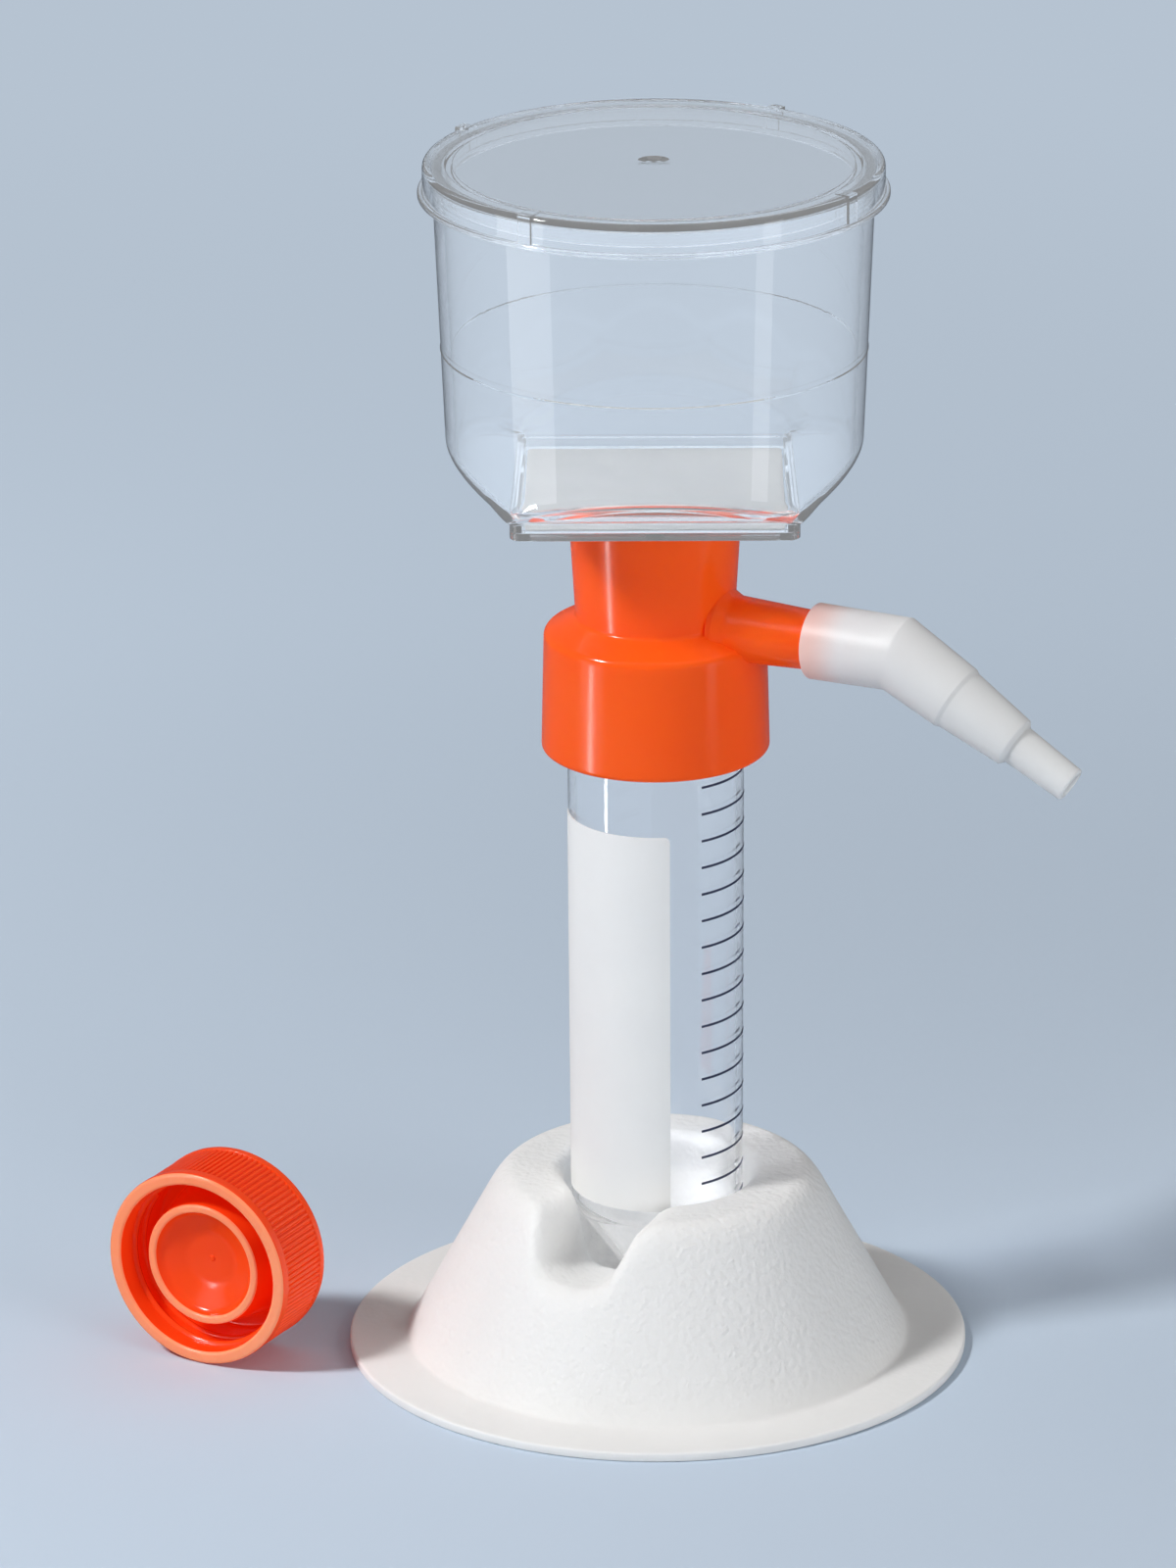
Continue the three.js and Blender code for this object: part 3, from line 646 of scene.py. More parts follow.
def notchSection(depth):  # outline across the notch at the socket: distance aside, height
    size, top = standSet, standHigh.z
    lean = math.radians(size["notchWallAngle"])
    foot = size["notchFloorHalf"] + depth * math.tan(lean / 2)
    edge = foot + (top - size["notchFloor"]) / math.tan(lean)
    return roundedOutline([
        (-foot, size["notchFloor"] - depth),
        (foot, size["notchFloor"] - depth, size["notchFloorFillet"] + depth),
        (edge, top - depth, size["notchTopFillet"] - depth),
        (size["flangeRadius"], top - depth),
    ], size["notchSteps"])


def heightAcross(section, aside):
    after = next(i for i, point in enumerate(section) if point.x > aside)
    low, high = section[after - 1], section[after]
    return low.y + (high.y - low.y) * (aside - low.x) / (high.x - low.x)


def slopeRadiusAt(z, depth):
    size = standSet
    run = (size["baseRadius"] - size["topRadius"]) / (standHigh.z - size["sheet"])
    return size["baseRadius"] - (z - size["sheet"]) * run - depth * math.hypot(1, run)


def alongNotch(radius):  # distance out from the socket, as far as the notch reaches
    size = standSet
    end = slopeRadiusAt(size["notchFloor"] - size["shoulderRoll"], 0.0)
    return min(max(radius, size["socketRadius"]), end) - size["socketRadius"]


def standColumns():  # azimuth at a radius: along the notch's walls beside it, straight out elsewhere
    size = standSet
    outline = notchSection(0.0)[1:-1]
    asides = [outline[0].x * share for share in size["floorColumns"]] + [point.x for point in outline]
    foot, edge = (outline[size["notchSteps"] + i].x for i in (0, 1))
    asides = sorted(asides + [foot + (edge - foot) * share for share in size["wallColumns"]])

    def swingTo(aside, radius):
        along = alongNotch(radius)
        widened = aside * (1 + size["notchWiden"] * along)
        return math.degrees(math.asin(widened / (size["socketRadius"] + along)))

    def besideColumn(side, aside):
        return lambda radius: size["notchAzimuth"] + side * swingTo(aside, radius)

    def furtherColumn(side, share):
        def azimuthAt(radius):
            near = swingTo(asides[-1], radius)
            return size["notchAzimuth"] + side * (near + (size["sideEnd"] - near) * share)
        return azimuthAt

    def sideColumns(side):
        return [besideColumn(side, aside) for aside in asides] + [
            furtherColumn(side, (i + 1) / size["sideSteps"]) for i in range(size["sideSteps"])]

    end, steps = size["sideEnd"], size["restSteps"]
    turns = [end + (360 - 2 * end) * i / steps for i in range(1, steps)]
    middle, *rest = [straightColumn(size["notchAzimuth"] + turn) for turn in (0.0, *turns)]
    return [*reversed(sideColumns(-1)), middle, *sideColumns(1), *rest]


def standFace(column, depth):  # corners of the upper face, or of the lower one at the sheet's depth
    size, top = standSet, standHigh.z
    section = notchSection(depth)
    run = (size["baseRadius"] - size["topRadius"]) / (top - size["sheet"])

    def heightAt(radius):
        swing = math.radians(column(radius) - size["notchAzimuth"])
        along = alongNotch(radius)
        aside = abs(radius * math.sin(swing)) / (1 + size["notchWiden"] * along)
        dip = (top - depth - heightAcross(section, aside)) * (1 - size["notchRise"] * along)
        level = top - depth - (dip if math.cos(swing) > 0 else 0.0)
        slope = size["sheet"] + (slopeRadiusAt(size["sheet"], depth) - radius) / run
        roll = max(size["shoulderRoll"] - abs(level - slope), 0.0)
        return min(level, slope) - roll ** 2 / (4 * size["shoulderRoll"])

    wall = size["socketRadius"] + depth
    lip = max(size["mouthFillet"] - depth, size["underFillet"])
    mouth = []
    for step in range(size["mouthSteps"] + 1):
        turn = math.pi / 2 * step / size["mouthSteps"]
        radius = wall + lip * (1 - math.cos(turn))
        mouth.append((radius, heightAt(radius) - lip * (1 - math.sin(turn))))
    far = slopeRadiusAt(size["notchFloor"] - depth - size["shoulderRoll"], depth)
    radii = [wall + lip + (far - wall - lip) * (i + 1) / size["topSteps"] for i in range(size["topSteps"])]
    foot = 0.0 if depth > 0 else size["sheet"]
    return [
        (0.0, size["socketFloor"] - depth),
        (wall, size["socketFloor"] - depth, size["socketFloorFillet"] + depth),
        *mouth,
        *((radius, heightAt(radius)) for radius in radii),
        (slopeRadiusAt(foot + size["footBand"], depth), foot + size["footBand"]),
        (slopeRadiusAt(foot, depth), foot, size["underFillet"] if depth > 0 else size["baseFillet"]),
    ]


def makeStand():
    size = standSet
    flange, sheet = size["flangeRadius"], size["sheet"]

    def profileAt(column):
        return roundedOutline([
            *standFace(column, sheet),
            (flange, 0.0, size["edgeUnder"]),
            (flange, sheet, size["edgeOver"]),
            (flange - size["flangeRing"], sheet),
            (size["baseRadius"] + size["footRing"], sheet),
            *reversed(standFace(column, 0.0)),
        ])

    shell = skinPiece("standShell", standColumns(), profileAt, standFinish, sharp=40)
    seat(shell, "stand", "stand", "stand")


makeStand()

# tube, its print and its thread

tubeSet = {
    "wall": 1.2 * mm,
    "radius": 14.35 * mm,  # outside, at the top of the cone
    "coneHeight": 15.6 * mm,
    "tipRadius": 3.4 * mm,
    "tipRound": 1.4 * mm,
    "tipRoundInside": 1.0 * mm,
    "innerCorners": (0.4, 0.6),  # shares of the wall that keep it even round the cone
    "coneRound": 2.5 * mm,
    "rimRound": 0.45 * mm,
    "threadFrom": 9.6 * mm,  # below the rim
    "threadTurns": 2.3,
    "threadLead": 3.0 * mm,
    "ridge": (0.9 * mm, 1.4 * mm),  # height and width
    "ridgeSunk": 0.05 * mm,  # depth of the ridge's middle in the wall
}


def tubeRadiusAt(z):
    coneTop = tubeLow.z + tubeSet["coneHeight"]
    share = (z - coneTop) / (tubeHigh.z - coneTop)
    return tubeSet["radius"] + (tubeHigh.x - tubeSet["radius"]) * share


def makeThreadTree():  # a right-handed ridge with a round crest, which fades in and out
    tree, given = newGrowth("threadRidge", "Radius", "Turns", "Lead", "Start", "Ridge Height", "Ridge Width")
    spiral = shape(tree, "CurveSpiral", {
        "Resolution": 90, "Rotations": given["Turns"], "Start Radius": given["Radius"],
        "End Radius": given["Radius"], "Height": maths(tree, "MULTIPLY", given["Turns"], given["Lead"]),
        "Reverse": True,
    })
    section = shape(tree, "Transform", {
        "Geometry": shape(tree, "CurvePrimitiveCircle", {"Resolution": 10, "Radius": 1.0}),
        "Scale": vector(tree, given["Ridge Height"], maths(tree, "DIVIDE", given["Ridge Width"], 2.0), 1.0),
    })
    ridge = fadedSweep(tree, spiral, section, steepness=14.0, least=0.05)
    lifted = shape(tree, "Transform", {"Geometry": ridge, "Translation": vector(tree, z=given["Start"])})
    return endGrowth(tree, joined(tree, lifted, given["Geometry"]))


threadRidge = makeThreadTree()


def addThread(piece, radius, start, turns, ridge, finish, sharp=33):
    growNodes(piece, threadRidge, {
        "Radius": radius, "Turns": turns, "Lead": tubeSet["threadLead"], "Start": start,
        "Ridge Height": ridge[0], "Ridge Width": ridge[1], "Finish": finish,
    }, sharp)


def makeTube():
    size = tubeSet
    wall, rim, tip = size["wall"], tubeHigh.x, size["tipRadius"]
    coneTop = tubeLow.z + size["coneHeight"]
    raised, drawnIn = size["innerCorners"]
    tube = turnedPiece("tubeShell", [
        (0.0, tubeLow.z),
        (tip, tubeLow.z, size["tipRound"]),
        (size["radius"], coneTop, size["coneRound"]),
        (rim, tubeHigh.z, size["rimRound"]),
        (rim - wall, tubeHigh.z, size["rimRound"]),
        (size["radius"] - wall, coneTop + raised * wall, size["coneRound"]),
        (tip - drawnIn * wall, tubeLow.z + wall, size["tipRoundInside"]),
        (0.0, tubeLow.z + wall),
    ], tubeFinish, segments=192)
    start = tubeHigh.z - size["threadFrom"]
    addThread(tube, rim - size["ridgeSunk"], start, size["threadTurns"], size["ridge"], tubeFinish)
    seat(tube, "tube", "clear_tube", "centrifuge_tube")


makeTube()

patchLow, patchHigh = boxRoundAxis("writing_patch")

patchSet = {
    "start": -92.0,
    "end": 9.0,
    "corner": 0.9 * mm,
    "endEdge": 0.02 * mm,  # half of the short straight edge at both ends
    "lift": 0.03 * mm,
    "thickness": 0.1 * mm,
    "columns": 90,
}


def makePatch():  # a skin of ink with rounded corners, which follows the tube's wall
    size = patchSet
    middle, halfTurn = (size["start"] + size["end"]) / 2, (size["end"] - size["start"]) / 2
    radius = tubeRadiusAt((patchLow.z + patchHigh.z) / 2)
    halfWidth = math.radians(halfTurn) * radius
    vertices, faces = [], []
    count, corner = size["columns"], size["corner"]
    for i in range(count + 1):
        across = -math.cos(math.pi * i / count) * halfWidth
        inset = max(0.0, abs(across) - (halfWidth - corner))
        drop = min(corner - math.sqrt(max(0.0, corner ** 2 - inset ** 2)), corner - size["endEdge"])
        way = planWay(middle + math.degrees(across / radius))
        for lift in (size["lift"], size["lift"] + size["thickness"]):
            for z in (patchLow.z + drop, patchHigh.z - drop):
                reach = tubeRadiusAt(z) + lift
                vertices.append((way.x * reach, way.y * reach, z))
    for i in range(count):
        here, there = 4 * i, 4 * (i + 1)
        for j, k in ((2, 3), (1, 0), (0, 2), (3, 1)):  # outside, inside, lower and upper edge
            faces.append((here + j, there + j, there + k, here + k))
    last = 4 * count
    faces += [(0, 2, 3, 1), (last, last + 1, last + 3, last + 2)]
    patch = addPiece("writingPatchPrint", vertices, faces, printFinish)
    seat(patch, "tube", "white_print", "writing_patch")


makePatch()

tickSet = {
    "count": 17,
    "pitch": 4.69 * mm,
    "top": 103.3 * mm,
    "start": 31.0,
    "end": 87.0,
    "line": 0.42 * mm,
    "thickness": 0.06 * mm,
    "lift": 0.06 * mm,
}


def makeTickTree():  # printed arcs round the tube, one above the other
    tree, given = newGrowth(
        "volumeTicks", "Count", "Pitch", "Top", "Radius", "Draft", "Start Angle", "Sweep",
        "Line", "Thickness",
    )
    rows = shape(tree, "MeshLine", {
        "Count": given["Count"], "Start Location": vector(tree, z=given["Top"]),
        "Offset": vector(tree, z=maths(tree, "MULTIPLY", given["Pitch"], -1.0)),
    })
    arc = shape(tree, "CurveArc", {
        "Resolution": 28, "Radius": given["Radius"], "Start Angle": given["Start Angle"],
        "Sweep Angle": given["Sweep"],
    })
    section = shape(tree, "CurvePrimitiveQuadrilateral", {
        "Width": given["Thickness"], "Height": given["Line"],
    })
    below = maths(tree, "SUBTRACT", pointPlace(tree)[2], given["Top"])
    wider = maths(tree, "ADD", 1.0, maths(tree, "MULTIPLY", below, given["Draft"]))
    marks = copies(tree, rows, swept(tree, arc, section), Scale=vector(tree, wider, wider, 1.0))
    return endGrowth(tree, marks)


def makeTicks():
    size = tickSet
    top, bottom = size["top"], size["top"] - (size["count"] - 1) * size["pitch"]
    ticks = addPiece("volumeMarks", [], [], inkFinish)
    growNodes(ticks, makeTickTree(), {
        "Count": size["count"], "Pitch": size["pitch"], "Top": top,
        "Radius": tubeRadiusAt(top) + size["lift"],
        "Draft": (1 - tubeRadiusAt(bottom) / tubeRadiusAt(top)) / (top - bottom),
        "Start Angle": math.radians(size["start"] - 90), "Sweep": math.radians(size["end"] - size["start"]),
        "Line": size["line"], "Thickness": size["thickness"], "Finish": inkFinish,
    })
    seat(ticks, "tube", "white_print")


makeTicks()

# vacuum adapter

adapterLow, adapterHigh = boxRoundAxis("vacuum_adapter")
armWay = Vector(joints["connector_swivel"]["axis"])
armCentre = Vector(joints["connector_swivel"]["pos_m"]) - axisPlace

adapterSet = {
    "collarRadius": 18.9 * mm,
    "collarTopRadius": 18.4 * mm,
    "collarBore": 16.2 * mm,
    "seatAbove": 18.5 * mm,  # the tube's seat above the collar's foot
    "shoulder": 1.8 * mm,  # above the seat
    "crown": 4.4 * mm,
    "shoulderRound": 1.5 * mm,
    "footRound": 0.8 * mm,
    "neckFoot": 13.15 * mm,
    "neckTop": 14.35 * mm,
    "neckWall": 2.0 * mm,
    "armRadius": 4.9 * mm,
    "armRoot": 5.5 * mm,
    "armFlare": 0.9 * mm,  # added to the radius at the neck
    "armBore": 3.0 * mm,
    "armReach": 28.8 * mm,
    "spigotRadius": 4.8 * mm,
    "spigotLength": 11.0 * mm,
    "tipRound": 0.8 * mm,
    "crownRound": 0.7 * mm,
    "seatRound": 0.5 * mm,
    "rootRound": 0.25 * mm,
    "edgeRound": 0.2 * mm,
    "ridge": (0.85 * mm, 1.2 * mm),  # of the thread: height and width
}
past = 1 * mm  # how far a cutting tool runs past the faces that it cuts


def toArm():  # lays a piece made along +Z on the arm's axis
    turn = Vector((0, 0, 1)).rotation_difference(armWay)
    return Matrix.Translation(armCentre) @ turn.to_matrix().to_4x4()


def makeAdapter():
    size = adapterSet
    foot, top = adapterLow.z, adapterHigh.z
    seatZ = foot + size["seatAbove"]
    adapter = turnedPiece("adapterBody", [
        (0.0, foot),
        (size["collarRadius"], foot, size["footRound"]),
        (size["collarTopRadius"], seatZ + size["shoulder"], size["shoulderRound"]),
        (size["neckFoot"], seatZ + size["crown"], size["crownRound"]),
        (size["neckTop"], top, size["edgeRound"]),
        (0.0, top),
    ], orangeFinish, segments=192)
    root, inside = size["neckFoot"] - 0.5 * size["neckWall"], size["neckFoot"] - 2 * size["neckWall"]
    reach, tip = size["armReach"], size["armReach"] + size["spigotLength"]
    arm = turnedPiece("arm", [
        (0.0, root),
        (size["armRoot"] + size["armFlare"], root),
        (size["armRoot"] + size["armFlare"], size["neckFoot"]),
        (size["armRoot"], size["neckFoot"] + 2 * size["armFlare"], 2 * size["armFlare"]),
        (size["armRadius"], reach, size["rootRound"]),
        (size["spigotRadius"], reach, size["edgeRound"]),
        (size["spigotRadius"], tip, size["tipRound"]),
        (0.0, tip),
    ], orangeFinish, segments=96)
    combine(adapter, moved(arm, toArm()), "UNION")
    cavity = turnedPiece("cavity", [
        (0.0, foot - past),
        (size["collarBore"], foot - past),
        (size["collarBore"], seatZ, size["seatRound"]),
        (size["neckFoot"] - size["neckWall"], seatZ),
        (size["neckTop"] - size["neckWall"], top + past),
        (0.0, top + past),
    ], orangeFinish, segments=192)
    combine(adapter, cavity, "DIFFERENCE")
    bore = rod("bore", size["armBore"], inside, tip + past, orangeFinish, segments=48)
    combine(adapter, moved(bore, toArm()), "DIFFERENCE")
    # midway between the tube's ridges
    start = tubeHigh.z - tubeSet["threadFrom"] - 0.5 * tubeSet["threadLead"]
    addThread(adapter, size["collarBore"] + tubeSet["ridgeSunk"], start, tubeSet["threadTurns"],
              size["ridge"], orangeFinish)
    seat(adapter, "head", "orange_plastic", "vacuum_adapter")


makeAdapter()

# hose connector

connectorSet = {
    "gap": 0.3 * mm,
    "sleeveRadius": 6.3 * mm,
    "sleeveLength": 15.1 * mm,
    "sleeveWall": 1.2 * mm,
    "bend": 30.0,
    "steps": (  # each one's length and its radius at both ends
        (11.9 * mm, 6.05 * mm, 5.7 * mm),
        (12.1 * mm, 5.35 * mm, 4.35 * mm),
        (11.7 * mm, 3.42 * mm, 3.0 * mm),
    ),
    "bevel": 0.7 * mm,
    "swell": 0.1 * mm,  # of the first step at the bend
    "stepRound": 0.25 * mm,
    "hold": 0.3 * mm,  # a straight wall has a point this near to its ends
    "edgeRound": 0.35 * mm,
    "boreRound": 0.2 * mm,
    "mitre": 4 * mm,  # rings this near the bend lean into it
    "wall": 1.05 * mm,
    "sides": 96,
}


def connectorRing(distance, radius):  # round the path: along the arm to the bend, then sloping down
    size = connectorSet
    bendAt = size["sleeveLength"]
    half = math.radians(size["bend"]) / 2
    slope = 0.0 if distance <= bendAt else 2 * half
    near = max(0.0, 1 - abs(distance - bendAt) / size["mitre"])
    lean = math.tan(half) * near * (1 if distance <= bendAt else -1)
    beyond = max(0.0, distance - bendAt)
    across = Vector((-armWay.y, armWay.x, 0.0))
    along = armWay * math.cos(slope) - Vector((0, 0, math.sin(slope)))
    up = armWay * math.sin(slope) + Vector((0, 0, math.cos(slope)))
    elbow = armCentre + armWay * (adapterSet["armReach"] + size["gap"] + min(distance, bendAt))
    centre = elbow + along * beyond
    ring = []
    for i in range(size["sides"]):
        angle = 2 * math.pi * i / size["sides"]
        ring.append(
            centre + across * (radius * math.cos(angle)) + up * (radius * math.sin(angle))
            + along * (radius * math.sin(angle) * lean)
        )
    return ring


def connectorOutline():  # closed outline in distance and radius
    size = connectorSet
    bendAt, wall = size["sleeveLength"], size["wall"]
    outside = [(0.0, size["sleeveRadius"], size["edgeRound"]), (bendAt, size["steps"][0][1] + size["swell"])]
    start = bendAt
    for i, (length, startRadius, endRadius) in enumerate(size["steps"]):
        if i > 0:
            outside.append((start + size["bevel"], startRadius, size["stepRound"]))
        start += length
        outside.append((start, endRadius, size["edgeRound"]))
    bores = [(along, radius - wall) for along, radius, *_ in outside[1:-1]]
    tipBore = outside[-1][1] - wall
    return roundedOutline([
        *outside,
        (start, tipBore, size["boreRound"]),
        *reversed(bores),
        (bendAt - 0.6 * size["bevel"], size["sleeveRadius"] - size["sleeveWall"]),
        (0.0, size["sleeveRadius"] - size["sleeveWall"], size["boreRound"]),
    ], steps=4, hold=size["hold"])


def makeConnector():
    sides = connectorSet["sides"]
    vertices = [point for place in connectorOutline() for point in connectorRing(place.x, place.y)]
    rings = [range(first, first + sides) for first in range(0, len(vertices), sides)]
    connector = addPiece("connectorTube", vertices, ringFaces(rings), makeMilkyFinish(), sharp=24)
    seat(connector, "connector", "milky_plastic", "hose_connector")


makeConnector()

# membrane and its support

supportLow, supportHigh = boxRoundAxis("membrane_support")
membraneLow, membraneHigh = boxRoundAxis("membrane")

supportSet = {
    "corner": 2.0 * mm,
    "thickness": 1.3 * mm,
    "floor": 0.5 * mm,
    "recessHalf": 20.25 * mm,
    "ribs": 13,
    "ribWidth": 1.0 * mm,
    "channel": 3.0 * mm,
    "spoutRadius": 4.2 * mm,
    "spoutBore": 3.0 * mm,
    "spoutRound": 0.3 * mm,
    "ribRoot": 0.2 * mm,  # sunk into the floor
    "ribOver": 0.3 * mm,  # of a rib's outer end, into the wall
    "edge": 0.15 * mm,
    "recessCorner": 1 * mm,
    "recessEdge": 0.05 * mm,
}
membraneSet = {"corner": 0.8 * mm, "edge": 0.05 * mm}


def squareRadius(half, corner, angle):  # of a rounded square, at an angle from the middle of a side
    inner = half - corner
    if half * math.tan(angle) <= inner:
        return half / math.cos(angle)
    across = inner * (math.cos(angle) - math.sin(angle))
    return inner * (math.cos(angle) + math.sin(angle)) + math.sqrt(max(0.0, corner ** 2 - across ** 2))


def fromSide(azimuth):
    return math.radians(abs((azimuth + 45) % 90 - 45))


def squareColumns(coarse=22):  # closer steps at the corners of the square
    near, fine = 7.0, 20  # degrees to each side of a corner, and the steps in them
    steps = []
    for corner in (45, 135, 225, 315):
        steps += [corner - near + 2 * near * i / fine for i in range(fine)]
        steps += [corner + near + (90 - 2 * near) * i / coarse for i in range(coarse)]
    return [straightColumn(azimuth) for azimuth in steps]


def squarePlate(name, half, corner, low, high, edge, finish):
    def profileAt(column):
        reach = squareRadius(half, corner, fromSide(column(half)))
        corners = [(0.0, low), (reach, low, edge), (reach, high, edge), (0.0, high)]
        return roundedOutline(corners, steps=3, hold=0.3 * mm)

    return skinPiece(name, squareColumns(), profileAt, finish)


def makeRibTree():  # parallel ribs across a square recess, split by a channel
    tree, given = newGrowth("drainRibs", "Count", "Pitch", "Length", "Width", "Depth", "Aside", "Level")
    spaces = maths(tree, "SUBTRACT", given["Count"], 1.0)
    first = maths(tree, "MULTIPLY", given["Pitch"], maths(tree, "MULTIPLY", spaces, -0.5))
    rib = shape(tree, "MeshCube", {"Size": vector(tree, given["Length"], given["Width"], given["Depth"])})
    sides = []
    for side in (-1.0, 1.0):
        rows = shape(tree, "MeshLine", {
            "Count": given["Count"], "Offset": vector(tree, y=given["Pitch"]),
            "Start Location": vector(
                tree, maths(tree, "MULTIPLY", given["Aside"], side), first, given["Level"],
            ),
        })
        sides.append(copies(tree, rows, rib))
    ribs = realized(tree, joined(tree, *sides))
    return endGrowth(tree, welded(tree, given["Geometry"], ribs))


def makeSupport():
    size = supportSet
    half, top = supportHigh.x, supportHigh.z
    under = top - size["thickness"]
    floor = under + size["floor"]
    support = squarePlate("supportPlate", half, size["corner"], under, top, size["edge"], supportFinish)
    recess = squarePlate("recess", size["recessHalf"], size["recessCorner"], floor, top + past,
                         size["recessEdge"], supportFinish)
    combine(support, recess, "DIFFERENCE")
    spout = rod("spout", size["spoutRadius"], supportLow.z, floor, supportFinish, edge=size["spoutRound"])
    combine(support, spout, "UNION")
    pitch = 2 * size["recessHalf"] / (size["ribs"] + 1)
    length = size["recessHalf"] - size["channel"] / 2 + size["ribOver"]
    growNodes(support, makeRibTree(), {
        "Count": size["ribs"], "Pitch": pitch, "Length": length, "Width": size["ribWidth"],
        "Depth": top - floor + size["ribRoot"], "Aside": size["channel"] / 2 + length / 2,
        "Level": (top + floor - size["ribRoot"]) / 2, "Finish": supportFinish,
    })
    hole = rod("hole", size["spoutBore"], supportLow.z - past, top + past, supportFinish)
    combine(support, hole, "DIFFERENCE")
    seat(support, "head", "clear_plastic", "membrane_support")


makeSupport()


def makeMembrane():
    sheet = squarePlate("filterSheet", membraneHigh.x, membraneSet["corner"], membraneLow.z, membraneHigh.z,
                        membraneSet["edge"], membraneFinish)
    seat(sheet, "head", "membrane", "membrane")


makeMembrane()

# funnel

funnelLow, funnelHigh = boxRoundAxis("funnel")

funnelSet = {
    "footRadius": 34.1 * mm,  # where the round wall meets the sloping floor
    "wall": 1.6 * mm,
    "band": 1.5 * mm,
    "slope": 0.52,
    "floorFillet": 4.0 * mm,
    "wellHalf": 21.5 * mm,
    "wellCorner": 0.8 * mm,
    "corner": 2.0 * mm,
    "rimRound": 0.45 * mm,
    "bandRound": 0.25 * mm,
    "footRound": 0.15 * mm,
    "wellRound": 0.1 * mm,
    "leastFillet": 0.5 * mm,
    "line": 175.6 * mm,  # height of the fine line moulded round the outside
    "lineProud": 0.12 * mm,
    "lineHalf": 0.22 * mm,
}


def funnelFace(azimuth, wall, half, corner):
    size = funnelSet
    bandTop, baseHalf = funnelLow.z + size["band"], supportHigh.x
    angle = fromSide(azimuth)
    slant = math.hypot(1, size["slope"])
    sideFoot = bandTop + size["slope"] * (size["footRadius"] - baseHalf)
    draft = (funnelHigh.x - size["footRadius"]) / (funnelHigh.z - sideFoot)

    def floorAt(radius):
        return bandTop + size["slope"] * (radius * math.cos(angle) - baseHalf) + wall * slant

    def roundAt(z):
        return size["footRadius"] - wall + (z - sideFoot) * draft

    foot = roundAt(sideFoot)
    for _ in range(8):  # closes in on where the wall meets the floor
        foot = roundAt(floorAt(foot))
    square = squareRadius(half, corner, angle)
    line, across = size["line"], size["lineHalf"]
    ridge = [] if wall else [
        (roundAt(line + across), line + across),
        (roundAt(line) + size["lineProud"], line),
        (roundAt(line - across), line - across),
    ]
    return [
        (roundAt(funnelHigh.z), funnelHigh.z, size["rimRound"]),
        *ridge,
        (foot, floorAt(foot), max(size["floorFillet"] - wall, size["leastFillet"])),
        (square, floorAt(square), size["bandRound"]),
    ]


def makeFunnel():
    size = funnelSet
    wellCorner = size["wellCorner"]

    def profileAt(column):
        azimuth = column(funnelHigh.x)
        angle = fromSide(azimuth)
        return roundedOutline([
            (squareRadius(size["wellHalf"], wellCorner, angle), funnelLow.z, size["wellRound"]),
            (squareRadius(supportHigh.x, size["corner"], angle), funnelLow.z, size["footRound"]),
            *reversed(funnelFace(azimuth, 0.0, supportHigh.x, size["corner"])),
            *funnelFace(azimuth, size["wall"], size["wellHalf"], wellCorner),
        ], steps=7, hold=0.35 * mm)

    funnel = skinPiece("funnelBowl", squareColumns(coarse=40), profileAt, funnelFinish, sharp=16)
    seat(funnel, "head", "clear_plastic", "funnel")


makeFunnel()

# lid

lidLow, lidHigh = boxRoundAxis("funnel_lid")

lidSet = {
    "thickness": 1.3 * mm,
    "skirtWall": 1.2 * mm,
    "gap": 0.3 * mm,
    "lipHeight": 0.9 * mm,
    "ringDepth": 4.5 * mm,
    "ringWall": 1.1 * mm,
    "edgeRound": 0.9 * mm,
    "lipRound": 0.3 * mm,
    "lipTopRound": 0.35 * mm,
    "smallRound": 0.2 * mm,
    "fineRound": 0.15 * mm,
    "innerRound": 0.1 * mm,
    "gateRadius": 2.6 * mm,  # a shallow dimple in the middle, where the mould was filled
    "gateDepth": 0.45 * mm,
    "gateBend": (0.55, 0.8, 1.5 * mm),  # its corner: share of the radius, share of the depth, fillet
    "lugs": 4,
    "lugAzimuth": -33.0,
    "lugWidth": 2.4 * mm,
    "lugStand": 0.45 * mm,
    "lugInset": 0.4 * mm,  # from the skirt's bore
    "lugFoot": 0.2 * mm,  # above the skirt's edge
    "lugTop": 0.15 * mm,  # below the lid's top
    "tabReach": 2.7 * mm,  # of a lug's tab, inwards over the lid
    "tabProud": 0.16 * mm,
    "tabRoot": 0.6 * mm,  # below the lid's top
}


def makeLugTree():  # upright lugs spread evenly round the skirt, each with a tab over the lid's edge
    tree, given = newGrowth(
        "lidLugs", "Count", "Outside", "First", "Width", "Depth", "Low", "High",
        "Tab Reach", "Tab Low", "Tab High",
    )
    rings = []
    for depth, low, high in (("Depth", "Low", "High"), ("Tab Reach", "Tab Low", "Tab High")):
        middle = maths(tree, "SUBTRACT", given["Outside"], maths(tree, "MULTIPLY", given[depth], 0.5))
        level = maths(tree, "MULTIPLY", maths(tree, "ADD", given[low], given[high]), 0.5)
        tall = maths(tree, "SUBTRACT", given[high], given[low])
        spots = shape(tree, "Transform", {
            "Geometry": shape(tree, "MeshCircle", {"Vertices": given["Count"], "Radius": middle}),
            "Translation": vector(tree, z=level), "Rotation": vector(tree, z=given["First"]),
        })
        lug = shape(tree, "MeshCube", {"Size": vector(tree, given[depth], given["Width"], tall)})
        place = pointPlace(tree)
        outwards = vector(tree, z=maths(tree, "ARCTAN2", place[1], place[0]))
        rings.append(realized(tree, copies(tree, spots, lug, Rotation=outwards)))
    return endGrowth(tree, welded(tree, *rings, given["Geometry"]))


